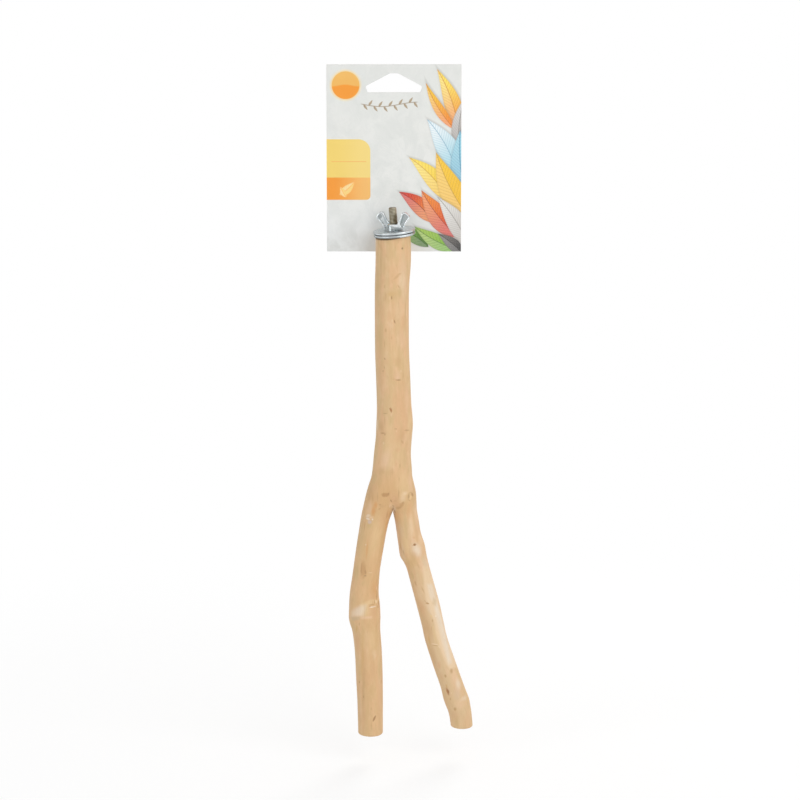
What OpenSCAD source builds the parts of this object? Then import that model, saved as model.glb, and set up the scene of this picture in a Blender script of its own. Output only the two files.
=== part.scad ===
// A forked natural-wood cage perch with its clamp bolt, two washers, wing nut and hang card.
// The origin is where the bolt's axis leaves the sawn top of the stick, and +Z runs up along the stick.
// The viewer stands on the -Y side, and the card hangs behind the stick on the +Y side.
// The bolt leans a little from the stick's length, as it was driven in, and the top is sawn square to it.

/* [Stick] */
// Length of the stick from its sawn top to the end of the left limb
stick_l = 371.5; // [330:0.5:420]
// Diameter of the stick near its sawn top
trunk_d = 25; // [22:0.5:29]
// Distance from the sawn top down to the crotch of the fork
fork_at = 203.5; // [170:0.5:225]
// Usual thickness of the left limb
left_d = 20; // [16:0.5:23]
// Usual thickness of the right limb
right_d = 17; // [13:0.5:20]
// Widest space between the line of the crotch and the left limb
left_gap = 10; // [6:0.5:20]
// Space between the line of the crotch and the right limb at its end
right_gap = 43; // [30:0.5:60]
// How much shorter the right limb is than the left one
right_short = 3; // [0:0.5:20]
// How far the limbs sway out of the plane of the fork
limb_sway = 4; // [0:0.5:10]
// Rounding of the sawn edges at the ends of the limbs
end_round = 1.2; // [0.4:0.1:2]

/* [Bolt] */
// Lean of the bolt from the stick's length, to the left at its top, in degrees
bolt_lean = 4.5; // [0:0.5:8]
// Outer diameter of the metric thread
bolt_d = 5.9; // [4.9:0.1:7.9]
// How far right of the stick's middle the bolt stands
bolt_right = 0.4; // [-1:0.1:1]
// Length of the machine thread that stands out of the wood
stud_l = 20; // [18:0.5:30]
// Length of the wood screw end inside the stick
screw_l = 30; // [20:0.5:45]
// Length of the screw end's point
point_l = 6; // [3:0.5:9]
// Chamfer at the free end of the stud
stud_chamfer = 0.7; // [0.3:0.1:1]

/* [Washers] */
// Outer diameter of each washer
washer_d = 30; // [26:0.5:32]
// Thickness of each washer
washer_t = 1.6; // [1.2:0.1:2.4]
// Rounded edge of the washers, drawn as a chamfer
washer_edge = 0.25; // [0.1:0.05:0.4]
// Space round the bolt in each washer's hole
washer_clear = 0.25; // [0.1:0.05:0.4]

/* [Wing nut] */
// Whole height of the wing nut
nut_h = 12.8; // [11:0.2:15]
// Span of the wing nut from wing tip to wing tip
nut_span = 26; // [23:0.2:28]
// Height of the nut's hub
hub_h = 5; // [4.4:0.2:6.4]
// Diameter of the hub at its foot
hub_foot_d = 12.2; // [11.6:0.2:13]
// Diameter of the hub under its rounded shoulder
hub_neck_d = 10.4; // [9.8:0.2:11]
// Rounding of the hub's shoulder
hub_shoulder = 1; // [0.6:0.1:1.2]
// Thickness of each wing
wing_t = 2.4; // [1.8:0.1:2.8]
// Distance of each wing's outer face from the nut's middle plane
wing_face = 6.25; // [6.1:0.05:7]
// Height of the wings' lower edge over the nut's foot
wing_lift = 0.5; // [0.3:0.1:1]
// Depth of the hollow in each face of a wing
wing_hollow = 0.45; // [0.2:0.05:0.6]
// Turn of the wings from the plane of the fork at rest, in degrees
wing_turn = 6; // [0:1:90]
// Running clearance between the nut's bore and the thread
thread_clear = 0.05; // [0.02:0.01:0.1]

/* [Hang card] */
// Width of the card
card_w = 96.6; // [80:0.2:120]
// Height of the card
card_h = 135.2; // [110:0.2:160]
// Thickness of the card
card_t = 0.6; // [0.4:0.1:1]
// How far the card reaches down below the sawn top of the stick
card_drop = 14.5; // [8:0.5:20]
// How far left of the bolt the card's middle lies
card_left = 0.5; // [-2:0.1:2]
// Width of the hang hole at its widest
hang_w = 40; // [32:0.5:46]
// Height of the hang hole
hang_h = 13.5; // [11:0.5:16]
// Strip of card above the hang hole
hang_margin = 6.5; // [5:0.5:9]
// Width of the tongue that is folded forward between the washers
tongue_w = 18; // [14:0.5:20]
// How far the tongue reaches in front of the bolt's axis
tongue_front = 9; // [6:0.5:11]
// Inner radius of the tongue's fold
fold_r = 0.4; // [0.2:0.1:0.8]
// Space between the washers' rims and the card
card_gap = 0.5; // [0.4:0.1:1]

/* [Hidden] */

// Smoothness of turned shapes
$fn = 96;
// Overrun of every cut past the faces that it opens
cut_over = 1;

// Segments round each half of the trunk, and across the waist where it parts into two limbs
half_segments = 24;
waist_segments = 4;
limb_segments = half_segments + waist_segments;
// Rings down the trunk, through the fork and down each limb
trunk_rings = 27;
fork_rings = 10;
limb_rings = 34;
round_rings = 3;
// Rings near the fork stand closer together with a higher power
limb_ring_power = 1.25;

trunk_r = trunk_d / 2;
left_r = left_d / 2;
right_r = right_d / 2;
left_l = stick_l - fork_at;
right_l = left_l - right_short;
bolt_r = bolt_d / 2;
// The pilot hole is drawn at the thread's outer radius, with a hair of room
pilot_clear = 0.03;
// The stick stands this far above its mean top before the saw cut, in trunk radii
uncut_share = 0.16;
// The crotch lies a little left of the stick's middle, in trunk radii
crotch_share = -0.08;
crotch_x = crotch_share * trunk_r - bolt_right;

// Trunk: place as a share of fork_at, then the middle line, left half width, right half width,
// half depth and sideways sway in depth, each as a share of trunk_r
trunk_shares = [
    [-0.01, -0.06, 1.00, 1.00, 0.98, 0.00],
    [0.09, -0.05, 1.015, 1.015, 0.99, 0.00],
    [0.20, -0.13, 0.985, 0.985, 0.99, 0.02],
    [0.40, -0.13, 0.985, 0.98, 0.97, 0.06],
    [0.52, -0.065, 0.99, 0.99, 0.98, 0.06],
    [0.61, -0.01, 1.00, 1.00, 0.99, 0.04],
    [0.65, 0.015, 1.035, 1.04, 1.02, 0.03],
    [0.685, 0.012, 1.065, 1.07, 1.04, 0.01],
    [0.725, -0.02, 1.055, 1.05, 1.03, 0.00],
    [0.785, -0.10, 1.08, 1.07, 1.04, -0.02],
    [0.84, -0.112, 1.145, 1.135, 1.06, -0.03],
    [0.872, -0.12, 1.21, 1.175, 1.07, -0.03],
    [0.90, -0.112, 1.36, 1.27, 1.08, -0.02],
    [0.93, -0.10, 1.505, 1.365, 1.09, -0.01],
    [0.96, -0.088, 1.63, 1.39, 1.08, 0.00],
    [0.99, -0.08, 1.745, 1.405, 1.06, 0.00],
    [1.00, -0.08, 1.785, 1.42, 1.05, 0.00]
];
// The groove between the limbs starts here, as a share of fork_at, and ends at the crotch
groove_share = 0.842;
// Half width of the waist as a share of the trunk's half depth, where the rings part
waist_share = 0.24;

// Left limb: place as a share of its length, then half width and half depth as shares of left_r,
// the space to the crotch line as a share of left_gap, and the sway as a share of limb_sway
left_shares = [
    [0.00, 1.115, 1.10, 0.00, 0.00],
    [0.04, 1.05, 1.04, 0.25, -0.02],
    [0.095, 1.015, 1.00, 0.465, -0.06],
    [0.15, 1.005, 0.98, 0.625, -0.12],
    [0.255, 0.98, 0.97, 0.92, -0.25],
    [0.31, 1.00, 0.99, 1.00, -0.34],
    [0.365, 1.055, 1.05, 1.025, -0.42],
    [0.42, 1.13, 1.11, 0.93, -0.48],
    [0.473, 1.16, 1.13, 0.89, -0.52],
    [0.50, 1.115, 1.07, 0.905, -0.53],
    [0.527, 1.04, 1.02, 0.91, -0.54],
    [0.56, 1.01, 1.00, 0.87, -0.56],
    [0.635, 0.99, 0.98, 0.79, -0.62],
    [0.745, 0.98, 0.97, 0.73, -0.72],
    [0.855, 0.94, 0.95, 0.72, -0.86],
    [0.965, 0.915, 0.93, 0.725, -0.97],
    [1.00, 0.91, 0.92, 0.73, -1.00]
];
// Right limb: the same, as shares of right_r, right_gap and limb_sway
right_shares = [
    [0.00, 1.045, 1.03, 0.00, 0.00],
    [0.042, 1.025, 1.01, 0.035, 0.02],
    [0.096, 1.035, 1.00, 0.065, 0.05],
    [0.152, 1.13, 1.05, 0.095, 0.09],
    [0.206, 1.14, 1.08, 0.128, 0.15],
    [0.233, 1.05, 1.04, 0.188, 0.18],
    [0.261, 1.00, 0.99, 0.235, 0.22],
    [0.316, 1.00, 0.96, 0.293, 0.30],
    [0.426, 1.01, 0.97, 0.402, 0.50],
    [0.537, 0.97, 0.94, 0.506, 0.70],
    [0.593, 0.995, 0.95, 0.55, 0.79],
    [0.70, 1.02, 0.98, 0.675, 0.93],
    [0.816, 1.035, 1.00, 0.823, 1.02],
    [0.871, 1.11, 1.05, 0.873, 1.03],
    [0.90, 1.07, 1.03, 0.91, 1.03],
    [0.927, 1.01, 1.00, 0.951, 1.02],
    [0.955, 0.975, 0.97, 0.977, 1.01],
    [1.00, 0.95, 0.95, 1.00, 1.00]
];
// Wood is never quite round: three soft ridges wind slowly down it
ridge_count = 3;
ridge_share = 0.014;
ridge_twist = 0.9;
// The ridges fade out over this share of fork_at on both sides of the crotch
ridge_fade_share = 0.12;

// Wing outline as [reach, height, corner radius]: reach and radius as shares of half the span,
// height as a share of the nut's height over the wings' lower edge
wing_shares = [
    [-0.12, 0.00, 0.00],
    [0.54, 0.00, 0.06],
    [0.74, 0.39, 0.50],
    [1.02, 0.71, 0.12],
    [0.72, 1.05, 0.20],
    [0.535, 0.97, 0.08],
    [0.40, 0.56, 0.50],
    [0.26, 0.35, 0.12],
    [-0.12, 0.35, 0.00]
];
// Outline of the hollow in a wing's face, in the same shares
hollow_shares = [
    [0.44, 0.15, 0.06],
    [0.54, 0.13, 0.06],
    [0.70, 0.46, 0.40],
    [0.91, 0.72, 0.08],
    [0.71, 0.94, 0.11],
    [0.60, 0.90, 0.06],
    [0.39, 0.34, 0.08]
];
// Steps in each rounded corner
corner_steps = 5;

// Hang hole as [half width, height, corner radius] shares, of half hang_w and of hang_h
hang_shares = [
    [-0.94, 0.00, 0.05],
    [0.94, 0.00, 0.05],
    [1.02, 0.31, 0.12],
    [0.14, 1.00, 0.24],
    [-0.14, 1.00, 0.24],
    [-1.02, 0.31, 0.12]
];

// Heights in the stack on the bolt, each on top of the last
tongue_z = washer_t;
outer_washer_z = tongue_z + card_t;
nut_z = outer_washer_z + washer_t;
washer_bore_r = bolt_r + washer_clear;
nut_bore_r = bolt_r + thread_clear;
card_front_y = washer_d / 2 + card_gap;
card_back_y = card_front_y + card_t;
fold_out_r = fold_r + card_t;

// Row of the table that starts the stretch holding place p
function row_at(table, p, i = 0) =
    i >= len(table) - 2 || p < table[i + 1][0] ? i : row_at(table, p, i + 1);

// Slope of one column of the table at row i
function slope(table, col, i) =
    let (a = max(i - 1, 0), b = min(i + 1, len(table) - 1))
    (table[b][col] - table[a][col]) / (table[b][0] - table[a][0]);

// Value of one column at place p, on a smooth curve through the rows
function along(table, col, p) =
    let (
        i = row_at(table, p),
        h = table[i + 1][0] - table[i][0],
        t = (p - table[i][0]) / h,
        t2 = t * t,
        t3 = t2 * t
    )
    (2 * t3 - 3 * t2 + 1) * table[i][col] + (t3 - 2 * t2 + t) * h * slope(table, col, i)
    + (3 * t2 - 2 * t3) * table[i + 1][col] + (t3 - t2) * h * slope(table, col, i + 1);

// Strength of the ridges at a depth below the sawn top: none at the crotch
function ridge_fade(depth) =
    let (u = min(1, abs(depth - fork_at) / (ridge_fade_share * fork_at)))
    u * u * (3 - 2 * u);
function ridges(angle, depth) =
    1 + ridge_share * ridge_fade(depth) * sin(ridge_count * angle + ridge_twist * 360 * depth / stick_l);

// How much of the trunk's half depth is left at the groove between the limbs
function groove(p) =
    let (u = max(0, (p - groove_share) / (1 - groove_share)))
    sqrt(max(0, 1 - pow(u, 3)));
// The place where the groove leaves a given share of the half depth
function groove_place(share) = groove_share + (1 - groove_share) * pow(1 - share * share, 1 / 3);

// One ring of the trunk at place p: two lobes that meet at a waist
function trunk_ring(p) =
    let (
        mid = along(trunk_shares, 1, p) * trunk_r - bolt_right,
        left = along(trunk_shares, 2, p) * trunk_r,
        right = along(trunk_shares, 3, p) * trunk_r,
        waist = along(trunk_shares, 4, p) * trunk_r * groove(p),
        sway = along(trunk_shares, 5, p) * trunk_r
    )
    [for (k = [0 : 2 * half_segments - 1])
        let (
            angle = -90 - 180 * k / half_segments,
            reach = cos(angle) < 0 ? left : right,
            r = norm([reach * cos(angle), waist * sin(angle)]) * ridges(angle, p * fork_at)
        )
        [mid + r * cos(angle), sway + r * sin(angle), -p * fork_at]];

// Half depth that the groove leaves full at the crotch, and the waist points from back to front
waist_full = along(trunk_shares, 4, 1) * trunk_r;
function waist_points() =
    [for (j = [1 : waist_segments - 1])
        let (share = waist_share * (1 - 2 * j / waist_segments))
        [crotch_x, share * waist_full, -groove_place(abs(share)) * fork_at]];

// One ring of a limb. side is -1 on the left and 1 on the right, and inset draws the ring in
function limb_ring(table, side, r, gap, length, q, inset) =
    let (
        rx = along(table, 1, q) * r - inset,
        ry = along(table, 2, q) * r - inset,
        mid = crotch_x + side * (along(table, 3, q) * gap + rx + inset),
        sway = along(table, 4, q) * limb_sway,
        even = 180 * waist_segments / limb_segments,
        tight = asin(min(1, waist_share * waist_full / (along(table, 2, 0) * r))),
        open = tight + (even - tight) * min(1, q / ridge_fade_share),
        inner = side < 0 ? 0 : 180,
        depth = fork_at + q * length
    )
    [for (i = [0 : limb_segments - 1])
        let (
            swept = i <= half_segments
                ? open + (360 - 2 * open) * i / half_segments
                : 360 - open + 2 * open * (i - half_segments) / waist_segments,
            angle = inner - swept,
            k = ridges(angle, depth)
        )
        [mid + k * rx * cos(angle), sway + k * ry * sin(angle), -depth]];

// Places of a limb's rings, and the rings of its rounded end
function limb_tube(table, side, r, gap, length) =
    let (last = 1 - end_round / length)
    [
        for (j = [1 : limb_rings]) limb_ring(table, side, r, gap, length,
            last * pow(j / limb_rings, limb_ring_power), 0),
        for (j = [1 : round_rings])
            let (a = 90 * j / round_rings)
            limb_ring(table, side, r, gap, length,
                last + (1 - last) * sin(a), end_round * (1 - cos(a)))
    ];

// Faces between two rings, given as lists of point numbers in the same order
function band(upper, lower) =
    let (n = len(upper))
    [for (k = [0 : n - 1], half = [0, 1])
        let (m = (k + 1) % n)
        half == 0 ? [upper[m], upper[k], lower[k]] : [upper[m], lower[k], lower[m]]];
// Point numbers of ring j in a tube that starts at point number first
function ring_ids(first, j) = [for (i = [0 : limb_segments - 1]) first + j * limb_segments + i];
// All faces of a limb below its mouth, with its sawn end
function limb_faces(mouth, first) =
    let (count = limb_rings + round_rings)
    concat(
        band(mouth, ring_ids(first, 0)),
        [for (j = [0 : count - 2], f = band(ring_ids(first, j), ring_ids(first, j + 1))) f],
        [[for (i = [limb_segments - 1 : -1 : 0]) first + (count - 1) * limb_segments + i]]
    );

// The whole stick as one closed skin: trunk rings, the waist, then two tubes
module stick_skin() {
    around = 2 * half_segments;
    // The fork's rings follow the groove, so that they stand close together where it ends
    parting = acos(waist_share);
    places = concat(
        [for (j = [0 : trunk_rings])
            let (top = -uncut_share * trunk_r / fork_at)
            top + (groove_share - top) * j / trunk_rings],
        [for (j = [1 : fork_rings]) groove_place(cos(parting * j / fork_rings))]
    );
    count = len(places);
    trunk_points = [for (p = places, point = trunk_ring(p)) point];
    waist = waist_points();
    left_tube = limb_tube(left_shares, -1, left_r, left_gap, left_l);
    right_tube = limb_tube(right_shares, 1, right_r, right_gap, right_l);
    points = concat(
        trunk_points,
        waist,
        [for (ring = left_tube, point = ring) point],
        [for (ring = right_tube, point = ring) point]
    );
    waist_first = len(trunk_points);
    left_first = waist_first + len(waist);
    right_first = left_first + len(left_tube) * limb_segments;
    last_ring = (count - 1) * around;
    left_mouth = concat(
        [for (k = [0 : half_segments]) last_ring + k],
        [for (j = [0 : waist_segments - 2]) waist_first + j]
    );
    right_mouth = concat(
        [for (k = [half_segments : around]) last_ring + k % around],
        [for (j = [waist_segments - 2 : -1 : 0]) waist_first + j]
    );
    trunk_faces = [
        for (j = [0 : count - 2])
            let (
                upper = [for (k = [0 : around - 1]) j * around + k],
                lower = [for (k = [0 : around - 1]) (j + 1) * around + k]
            )
            for (f = band(upper, lower)) f
    ];
    faces = concat(
        [[for (k = [0 : around - 1]) k]],
        trunk_faces,
        limb_faces(left_mouth, left_first),
        limb_faces(right_mouth, right_first)
    );
    polyhedron(points = points, faces = faces, convexity = 6);
}

// Places its children on the bolt's axis
module on_bolt() {
    rotate([0, -bolt_lean, 0]) children();
}

// The screw end and its point, larger by room all round
module screw_end(room) {
    rotate_extrude() polygon([
        [0, 0],
        [bolt_r + room, 0],
        [bolt_r + room, -(screw_l - point_l)],
        [0, -screw_l - room]
    ]);
}

module branch() {
    color([0.86, 0.72, 0.56])
    difference() {
        stick_skin();
        on_bolt() {
            translate([-trunk_d, -trunk_d, 0]) cube([2 * trunk_d, 2 * trunk_d, trunk_r]);
            screw_end(pilot_clear);
            cylinder(r = bolt_r + pilot_clear, h = cut_over);
        }
    }
}

module hanger_bolt() {
    color([0.48, 0.45, 0.39])
    on_bolt() {
        rotate_extrude() polygon([
            [0, -screw_l],
            [bolt_r, -(screw_l - point_l)],
            [bolt_r, stud_l - stud_chamfer],
            [bolt_r - stud_chamfer, stud_l],
            [0, stud_l]
        ]);
    }
}

// A flat washer standing on height z of the bolt's stack
module washer_at(z) {
    washer_r = washer_d / 2;
    color([0.72, 0.75, 0.78])
    on_bolt() {
        translate([0, 0, z]) rotate_extrude() polygon([
            [washer_bore_r, 0],
            [washer_r - washer_edge, 0],
            [washer_r, washer_edge],
            [washer_r, washer_t - washer_edge],
            [washer_r - washer_edge, washer_t],
            [washer_bore_r, washer_t]
        ]);
    }
}

module inner_washer() {
    washer_at(0);
}

module outer_washer() {
    washer_at(outer_washer_z);
}

// Corner i of an outline as arc points. Each corner is [x, y, radius]
function corner(points, i) =
    let (
        n = len(points),
        here = [points[i][0], points[i][1]],
        back = [points[(i + n - 1) % n][0], points[(i + n - 1) % n][1]] - here,
        next = [points[(i + 1) % n][0], points[(i + 1) % n][1]] - here,
        a = back / norm(back),
        b = next / norm(next),
        half = acos(a * b) / 2,
        middle = (a + b) / norm(a + b),
        r = points[i][2],
        centre = here + middle * r / sin(half),
        turn = a[0] * b[1] - a[1] * b[0] > 0 ? 1 : -1,
        out = atan2(-middle[1], -middle[0])
    )
    r == 0 ? [here] : [for (j = [0 : corner_steps])
        let (angle = out + turn * (90 - half) * (1 - 2 * j / corner_steps))
        centre + r * [cos(angle), sin(angle)]];
function rounded(points) = [for (i = [0 : len(points) - 1], point = corner(points, i)) point];

function wing_points(shares) =
    let (half = nut_span / 2, rise = nut_h - wing_lift)
    rounded([for (s = shares) [s[0] * half, s[1] * rise, s[2] * half]]);

// One wing, flush with one side of the hub, with a hollow in each of its faces
module wing() {
    translate([0, wing_t - wing_face, wing_lift])
    rotate([90, 0, 0])
    difference() {
        linear_extrude(wing_t) polygon(wing_points(wing_shares));
        for (z = [wing_hollow - cut_over, wing_t - wing_hollow])
            translate([0, 0, z]) linear_extrude(cut_over) polygon(wing_points(hollow_shares));
    }
}

// Half section of the hub as [radius, height], with its rounded shoulder
function hub_section() =
    let (neck_r = hub_neck_d / 2)
    concat(
        [[0, 0], [hub_foot_d / 2, 0]],
        [for (j = [0 : corner_steps])
            let (angle = 90 * j / corner_steps)
            [
                neck_r - hub_shoulder + hub_shoulder * cos(angle),
                hub_h - hub_shoulder + hub_shoulder * sin(angle)
            ]],
        [[0, hub_h]]
    );

module wing_nut() {
    color([0.72, 0.75, 0.78])
    on_bolt() translate([0, 0, nut_z]) rotate([0, 0, -wing_turn])
    difference() {
        union() {
            rotate_extrude() polygon(hub_section());
            for (turn = [0, 180]) rotate([0, 0, turn]) wing();
        }
        translate([0, 0, -cut_over]) cylinder(r = nut_bore_r, h = hub_h + 2 * cut_over);
    }
}

// The hang hole with its wide foot and blunt top, standing on its lower edge
module hang_hole() {
    polygon(rounded([for (s = hang_shares) [s[0] * hang_w / 2, s[1] * hang_h, s[2] * hang_h]]));
}

// Side view of the folded tongue as [depth, height]: forward under the washer and up into the card
module fold_side(rise) {
    inner_turn = [for (j = [0 : corner_steps])
        let (angle = -90 * j / corner_steps)
        [card_front_y - fold_r + fold_r * cos(angle), card_t + fold_r + fold_r * sin(angle)]];
    outer_turn = [for (j = [0 : corner_steps])
        let (angle = -90 + 90 * j / corner_steps)
        [card_back_y - fold_out_r + fold_out_r * cos(angle), fold_out_r + fold_out_r * sin(angle)]];
    polygon(concat(
        [[-tongue_front, 0]],
        outer_turn,
        [[card_back_y, rise], [card_front_y, rise]],
        inner_turn,
        [[-tongue_front, card_t]]
    ));
}

module hang_card() {
    // The fold's upright reaches this far up into the card
    rise = card_drop / 2;
    color([0.90, 0.91, 0.90])
    difference() {
        union() {
            difference() {
                translate([0, card_back_y, 0]) rotate([90, 0, 0]) linear_extrude(card_t) difference() {
                    translate([-card_left - card_w / 2, -card_drop]) square([card_w, card_h]);
                    translate([-card_left, card_h - card_drop - hang_margin - hang_h]) hang_hole();
                }
                on_bolt() translate([-tongue_w / 2, 0, tongue_z - 2 * card_drop])
                    cube([tongue_w, card_back_y + cut_over, 2 * card_drop + fold_out_r]);
            }
            on_bolt() translate([-tongue_w / 2, 0, tongue_z])
                rotate([90, 0, 90]) linear_extrude(tongue_w) fold_side(rise);
        }
        on_bolt() cylinder(r = washer_bore_r, h = stud_l);
    }
}

branch();
hanger_bolt();
inner_washer();
outer_washer();
wing_nut();
hang_card();
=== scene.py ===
"""Looks of the forked bird perch: debarked stick, zinc-plated clamp hardware and printed hang card."""

import math
import random
from contextlib import contextmanager

import bmesh
import bpy
import numpy as np
from mathutils import Matrix, Vector, noise


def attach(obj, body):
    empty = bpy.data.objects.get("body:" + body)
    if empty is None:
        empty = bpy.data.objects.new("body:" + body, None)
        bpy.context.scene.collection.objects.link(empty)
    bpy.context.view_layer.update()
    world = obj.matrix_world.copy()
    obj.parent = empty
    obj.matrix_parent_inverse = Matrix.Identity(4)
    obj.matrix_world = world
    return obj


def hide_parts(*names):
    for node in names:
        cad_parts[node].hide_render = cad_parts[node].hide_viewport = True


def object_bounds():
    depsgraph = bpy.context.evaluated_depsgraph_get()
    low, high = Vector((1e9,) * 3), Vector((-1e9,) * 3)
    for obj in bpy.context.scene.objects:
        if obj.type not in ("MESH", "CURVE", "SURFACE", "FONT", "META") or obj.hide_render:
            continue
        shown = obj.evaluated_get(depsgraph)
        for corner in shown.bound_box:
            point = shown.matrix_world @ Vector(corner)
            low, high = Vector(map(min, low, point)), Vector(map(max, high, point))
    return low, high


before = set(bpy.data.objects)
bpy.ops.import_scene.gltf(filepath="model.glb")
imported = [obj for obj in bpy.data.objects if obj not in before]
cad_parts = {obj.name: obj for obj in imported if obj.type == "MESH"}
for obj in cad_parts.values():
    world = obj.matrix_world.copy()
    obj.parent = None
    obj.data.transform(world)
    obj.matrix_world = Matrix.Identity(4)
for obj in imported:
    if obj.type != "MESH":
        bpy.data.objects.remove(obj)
cad_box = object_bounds()
MM = 0.001
random.seed(11)

# Nodes, materials and meshes


def srgb(r, g, b):
    """A colour given as it shows on screen, 0 to 255, as Blender's linear colour."""
    linear = (((c / 255 + 0.055) / 1.055) ** 2.4 if c > 10 else c / 255 / 12.92 for c in (r, g, b))
    return (*linear, 1.0)


WHITE = (1, 1, 1, 1)


class Value:
    """A node's output that takes part in sums, so that a texture reads as a formula."""

    def __init__(self, net, socket):
        self.net, self.socket = net, socket

    def __add__(self, other):
        return self.net.math("ADD", self, other)

    def __sub__(self, other):
        return self.net.math("SUBTRACT", self, other)

    def __rsub__(self, other):
        return self.net.math("SUBTRACT", other, self)

    def __mul__(self, other):
        return self.net.math("MULTIPLY", self, other)

    def __truediv__(self, other):
        return self.net.math("DIVIDE", self, other)

    def __abs__(self):
        return self.net.math("ABSOLUTE", self)


class Net:
    """Adds nodes to a tree and gives back their outputs as values."""

    def __init__(self, tree):
        self.tree = tree

    def put(self, socket, value):
        if isinstance(value, Value):
            self.tree.links.new(value.socket, socket)
        else:
            socket.default_value = value

    def feed(self, inputs, **values):
        """Links or sets inputs that are named as they are in Blender, with _ for each space."""
        for name, value in values.items():
            self.put(inputs[name.replace("_", " ")], value)

    def get(self, kind, output, inputs=None, **props):
        node = self.tree.nodes.new(kind)
        for name, value in props.items():
            setattr(node, name, value)
        for key, value in (inputs or {}).items():
            self.put(node.inputs[key], value)
        return Value(self, node.outputs[output])

    def math(self, op, a, b=0.0):
        return self.get("ShaderNodeMath", 0, {0: a, 1: b}, operation=op)

    def vec(self, op, a, b=(0, 0, 0)):
        output = "Value" if op in ("DOT_PRODUCT", "LENGTH") else "Vector"
        return self.get("ShaderNodeVectorMath", output, {0: a, 1: b}, operation=op)

    def most(self, a, b):
        return self.math("MAXIMUM", a, b)

    def sine(self, a):
        return self.math("SINE", a)

    def root(self, a):
        return self.math("SQRT", a)

    def step(self, x, lo, hi, to_lo=0.0, to_hi=1.0):
        """Goes smoothly from to_lo to to_hi while x goes from lo to hi."""
        ends = {"Value": x, "From Min": lo, "From Max": hi, "To Min": to_lo, "To Max": to_hi}
        return self.get("ShaderNodeMapRange", "Result", ends, interpolation_type="SMOOTHSTEP")

    def mix(self, fac, a, b):
        return self.get("ShaderNodeMix", 2, {0: fac, 6: a, 7: b}, data_type="RGBA")

    def tinge(self, tone, *washes):
        """Lays colours over a tone. Each wash is (source, lo, hi, amount, colour) and is full at hi."""
        for source, lo, hi, amount, colour in washes:
            tone = self.mix(self.step(source, lo, hi, 0.0, amount), tone, colour)
        return tone

    def noise(self, vec, scale, detail=2.0, rough=0.5, output="Fac"):
        scaled = self.vec("MULTIPLY", vec, scale)
        inputs = {"Vector": scaled, "Scale": 1.0, "Detail": detail, "Roughness": rough}
        return self.get("ShaderNodeTexNoise", output, inputs)

    def xyz(self, vec):
        return [self.get("ShaderNodeSeparateXYZ", axis, {0: vec}) for axis in range(3)]

    def join(self, x, y, z=0.0):
        return self.get("ShaderNodeCombineXYZ", 0, {0: x, 1: y, 2: z})

    def bump(self, height, distance, strength):
        inputs = {"Height": height, "Distance": distance, "Strength": strength}
        return self.get("ShaderNodeBump", "Normal", inputs)

    def place(self):
        """The place on the object in mm, in the part's frame."""
        return self.vec("MULTIPLY", self.get("ShaderNodeTexCoord", "Object"), (1 / MM,) * 3)

    def layer(self, name, output="Fac"):
        """A value that the mesh stores at its points."""
        return self.get("ShaderNodeAttribute", output, attribute_name=name)

    def ray(self, kind):
        return self.get("ShaderNodeLightPath", f"Is {kind} Ray")


def material(name, **sockets):
    """A new material, its net and its principled shader's inputs, some of them set."""
    mat = bpy.data.materials.new(name)
    mat.use_nodes = True
    net = Net(mat.node_tree)
    shader = mat.node_tree.nodes["Principled BSDF"].inputs
    net.feed(shader, **sockets)
    return mat, net, shader


def node_group(name, result, **sockets):
    """A new node group, its net, its inputs as values and the socket for its result."""
    group = bpy.data.node_groups.new(name, "ShaderNodeTree")
    for label, kind in sockets.items():
        group.interface.new_socket(name=label, in_out="INPUT", socket_type="NodeSocket" + kind)
    group.interface.new_socket(name="Result", in_out="OUTPUT", socket_type="NodeSocket" + result)
    net = Net(group)
    given = {socket.name: Value(net, socket) for socket in group.nodes.new("NodeGroupInput").outputs}
    return group, net, given, group.nodes.new("NodeGroupOutput").inputs["Result"]


def new_object(name, data):
    obj = bpy.data.objects.new(name, data)
    bpy.context.scene.collection.objects.link(obj)
    return obj


def mesh_object(name, verts, faces):
    mesh = bpy.data.meshes.new(name)
    mesh.from_pydata([tuple(v) for v in verts], [], [tuple(f) for f in faces])
    mesh.validate()
    return new_object(name, mesh)


@contextmanager
def opened(mesh):
    """The mesh as a bmesh, which is written back at the end."""
    bm = bmesh.new()
    bm.from_mesh(mesh)
    yield bm
    bm.to_mesh(mesh)
    bm.free()


def point_layer(mesh, name, kind, field, values):
    """Stores values at the mesh's points, for its material to read."""
    mesh.attributes.new(name, kind, "POINT").data.foreach_set(field, np.asarray(values, np.float32).ravel())


def band(upper, lower):
    """Faces between two rings of as many points."""
    return list(zip(upper, upper[1:] + upper[:1], lower[1:] + lower[:1], lower))


def smooth_step(x):
    x = np.clip(x, 0, 1)
    return x * x * (3 - 2 * x)


# Camera, lamps, surroundings and floor, in m

LENS, SENSOR, NEAR, FAR = 150, 36, 0.05, 100
CAMERA_PLACE, CAMERA_DOWN = (0.003867, -2.359618, 0.380745), math.radians(12)
LAMPS_AIM = Vector((0.0, 0.0, -0.15))
AMBIENT, MIRRORED_DARK = (0.62, 0.62, 0.62, 1), 0.8
FLOOR_HALF, FLOOR_DROP = 14, 0.02
GLOW_FROM, GLOW_TO, GLOW_LEAST = 0.42, 0.75, 0.62

cam_data = bpy.data.cameras.new("camera")
cam_data.lens, cam_data.sensor_width = LENS, SENSOR
cam_data.clip_start, cam_data.clip_end = NEAR, FAR
camera = new_object("camera", cam_data)
camera.location = CAMERA_PLACE
camera.rotation_euler = (math.pi / 2 - CAMERA_DOWN, 0, 0)
bpy.context.scene.camera = camera
bpy.context.scene.view_settings.view_transform = "Standard"

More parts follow.
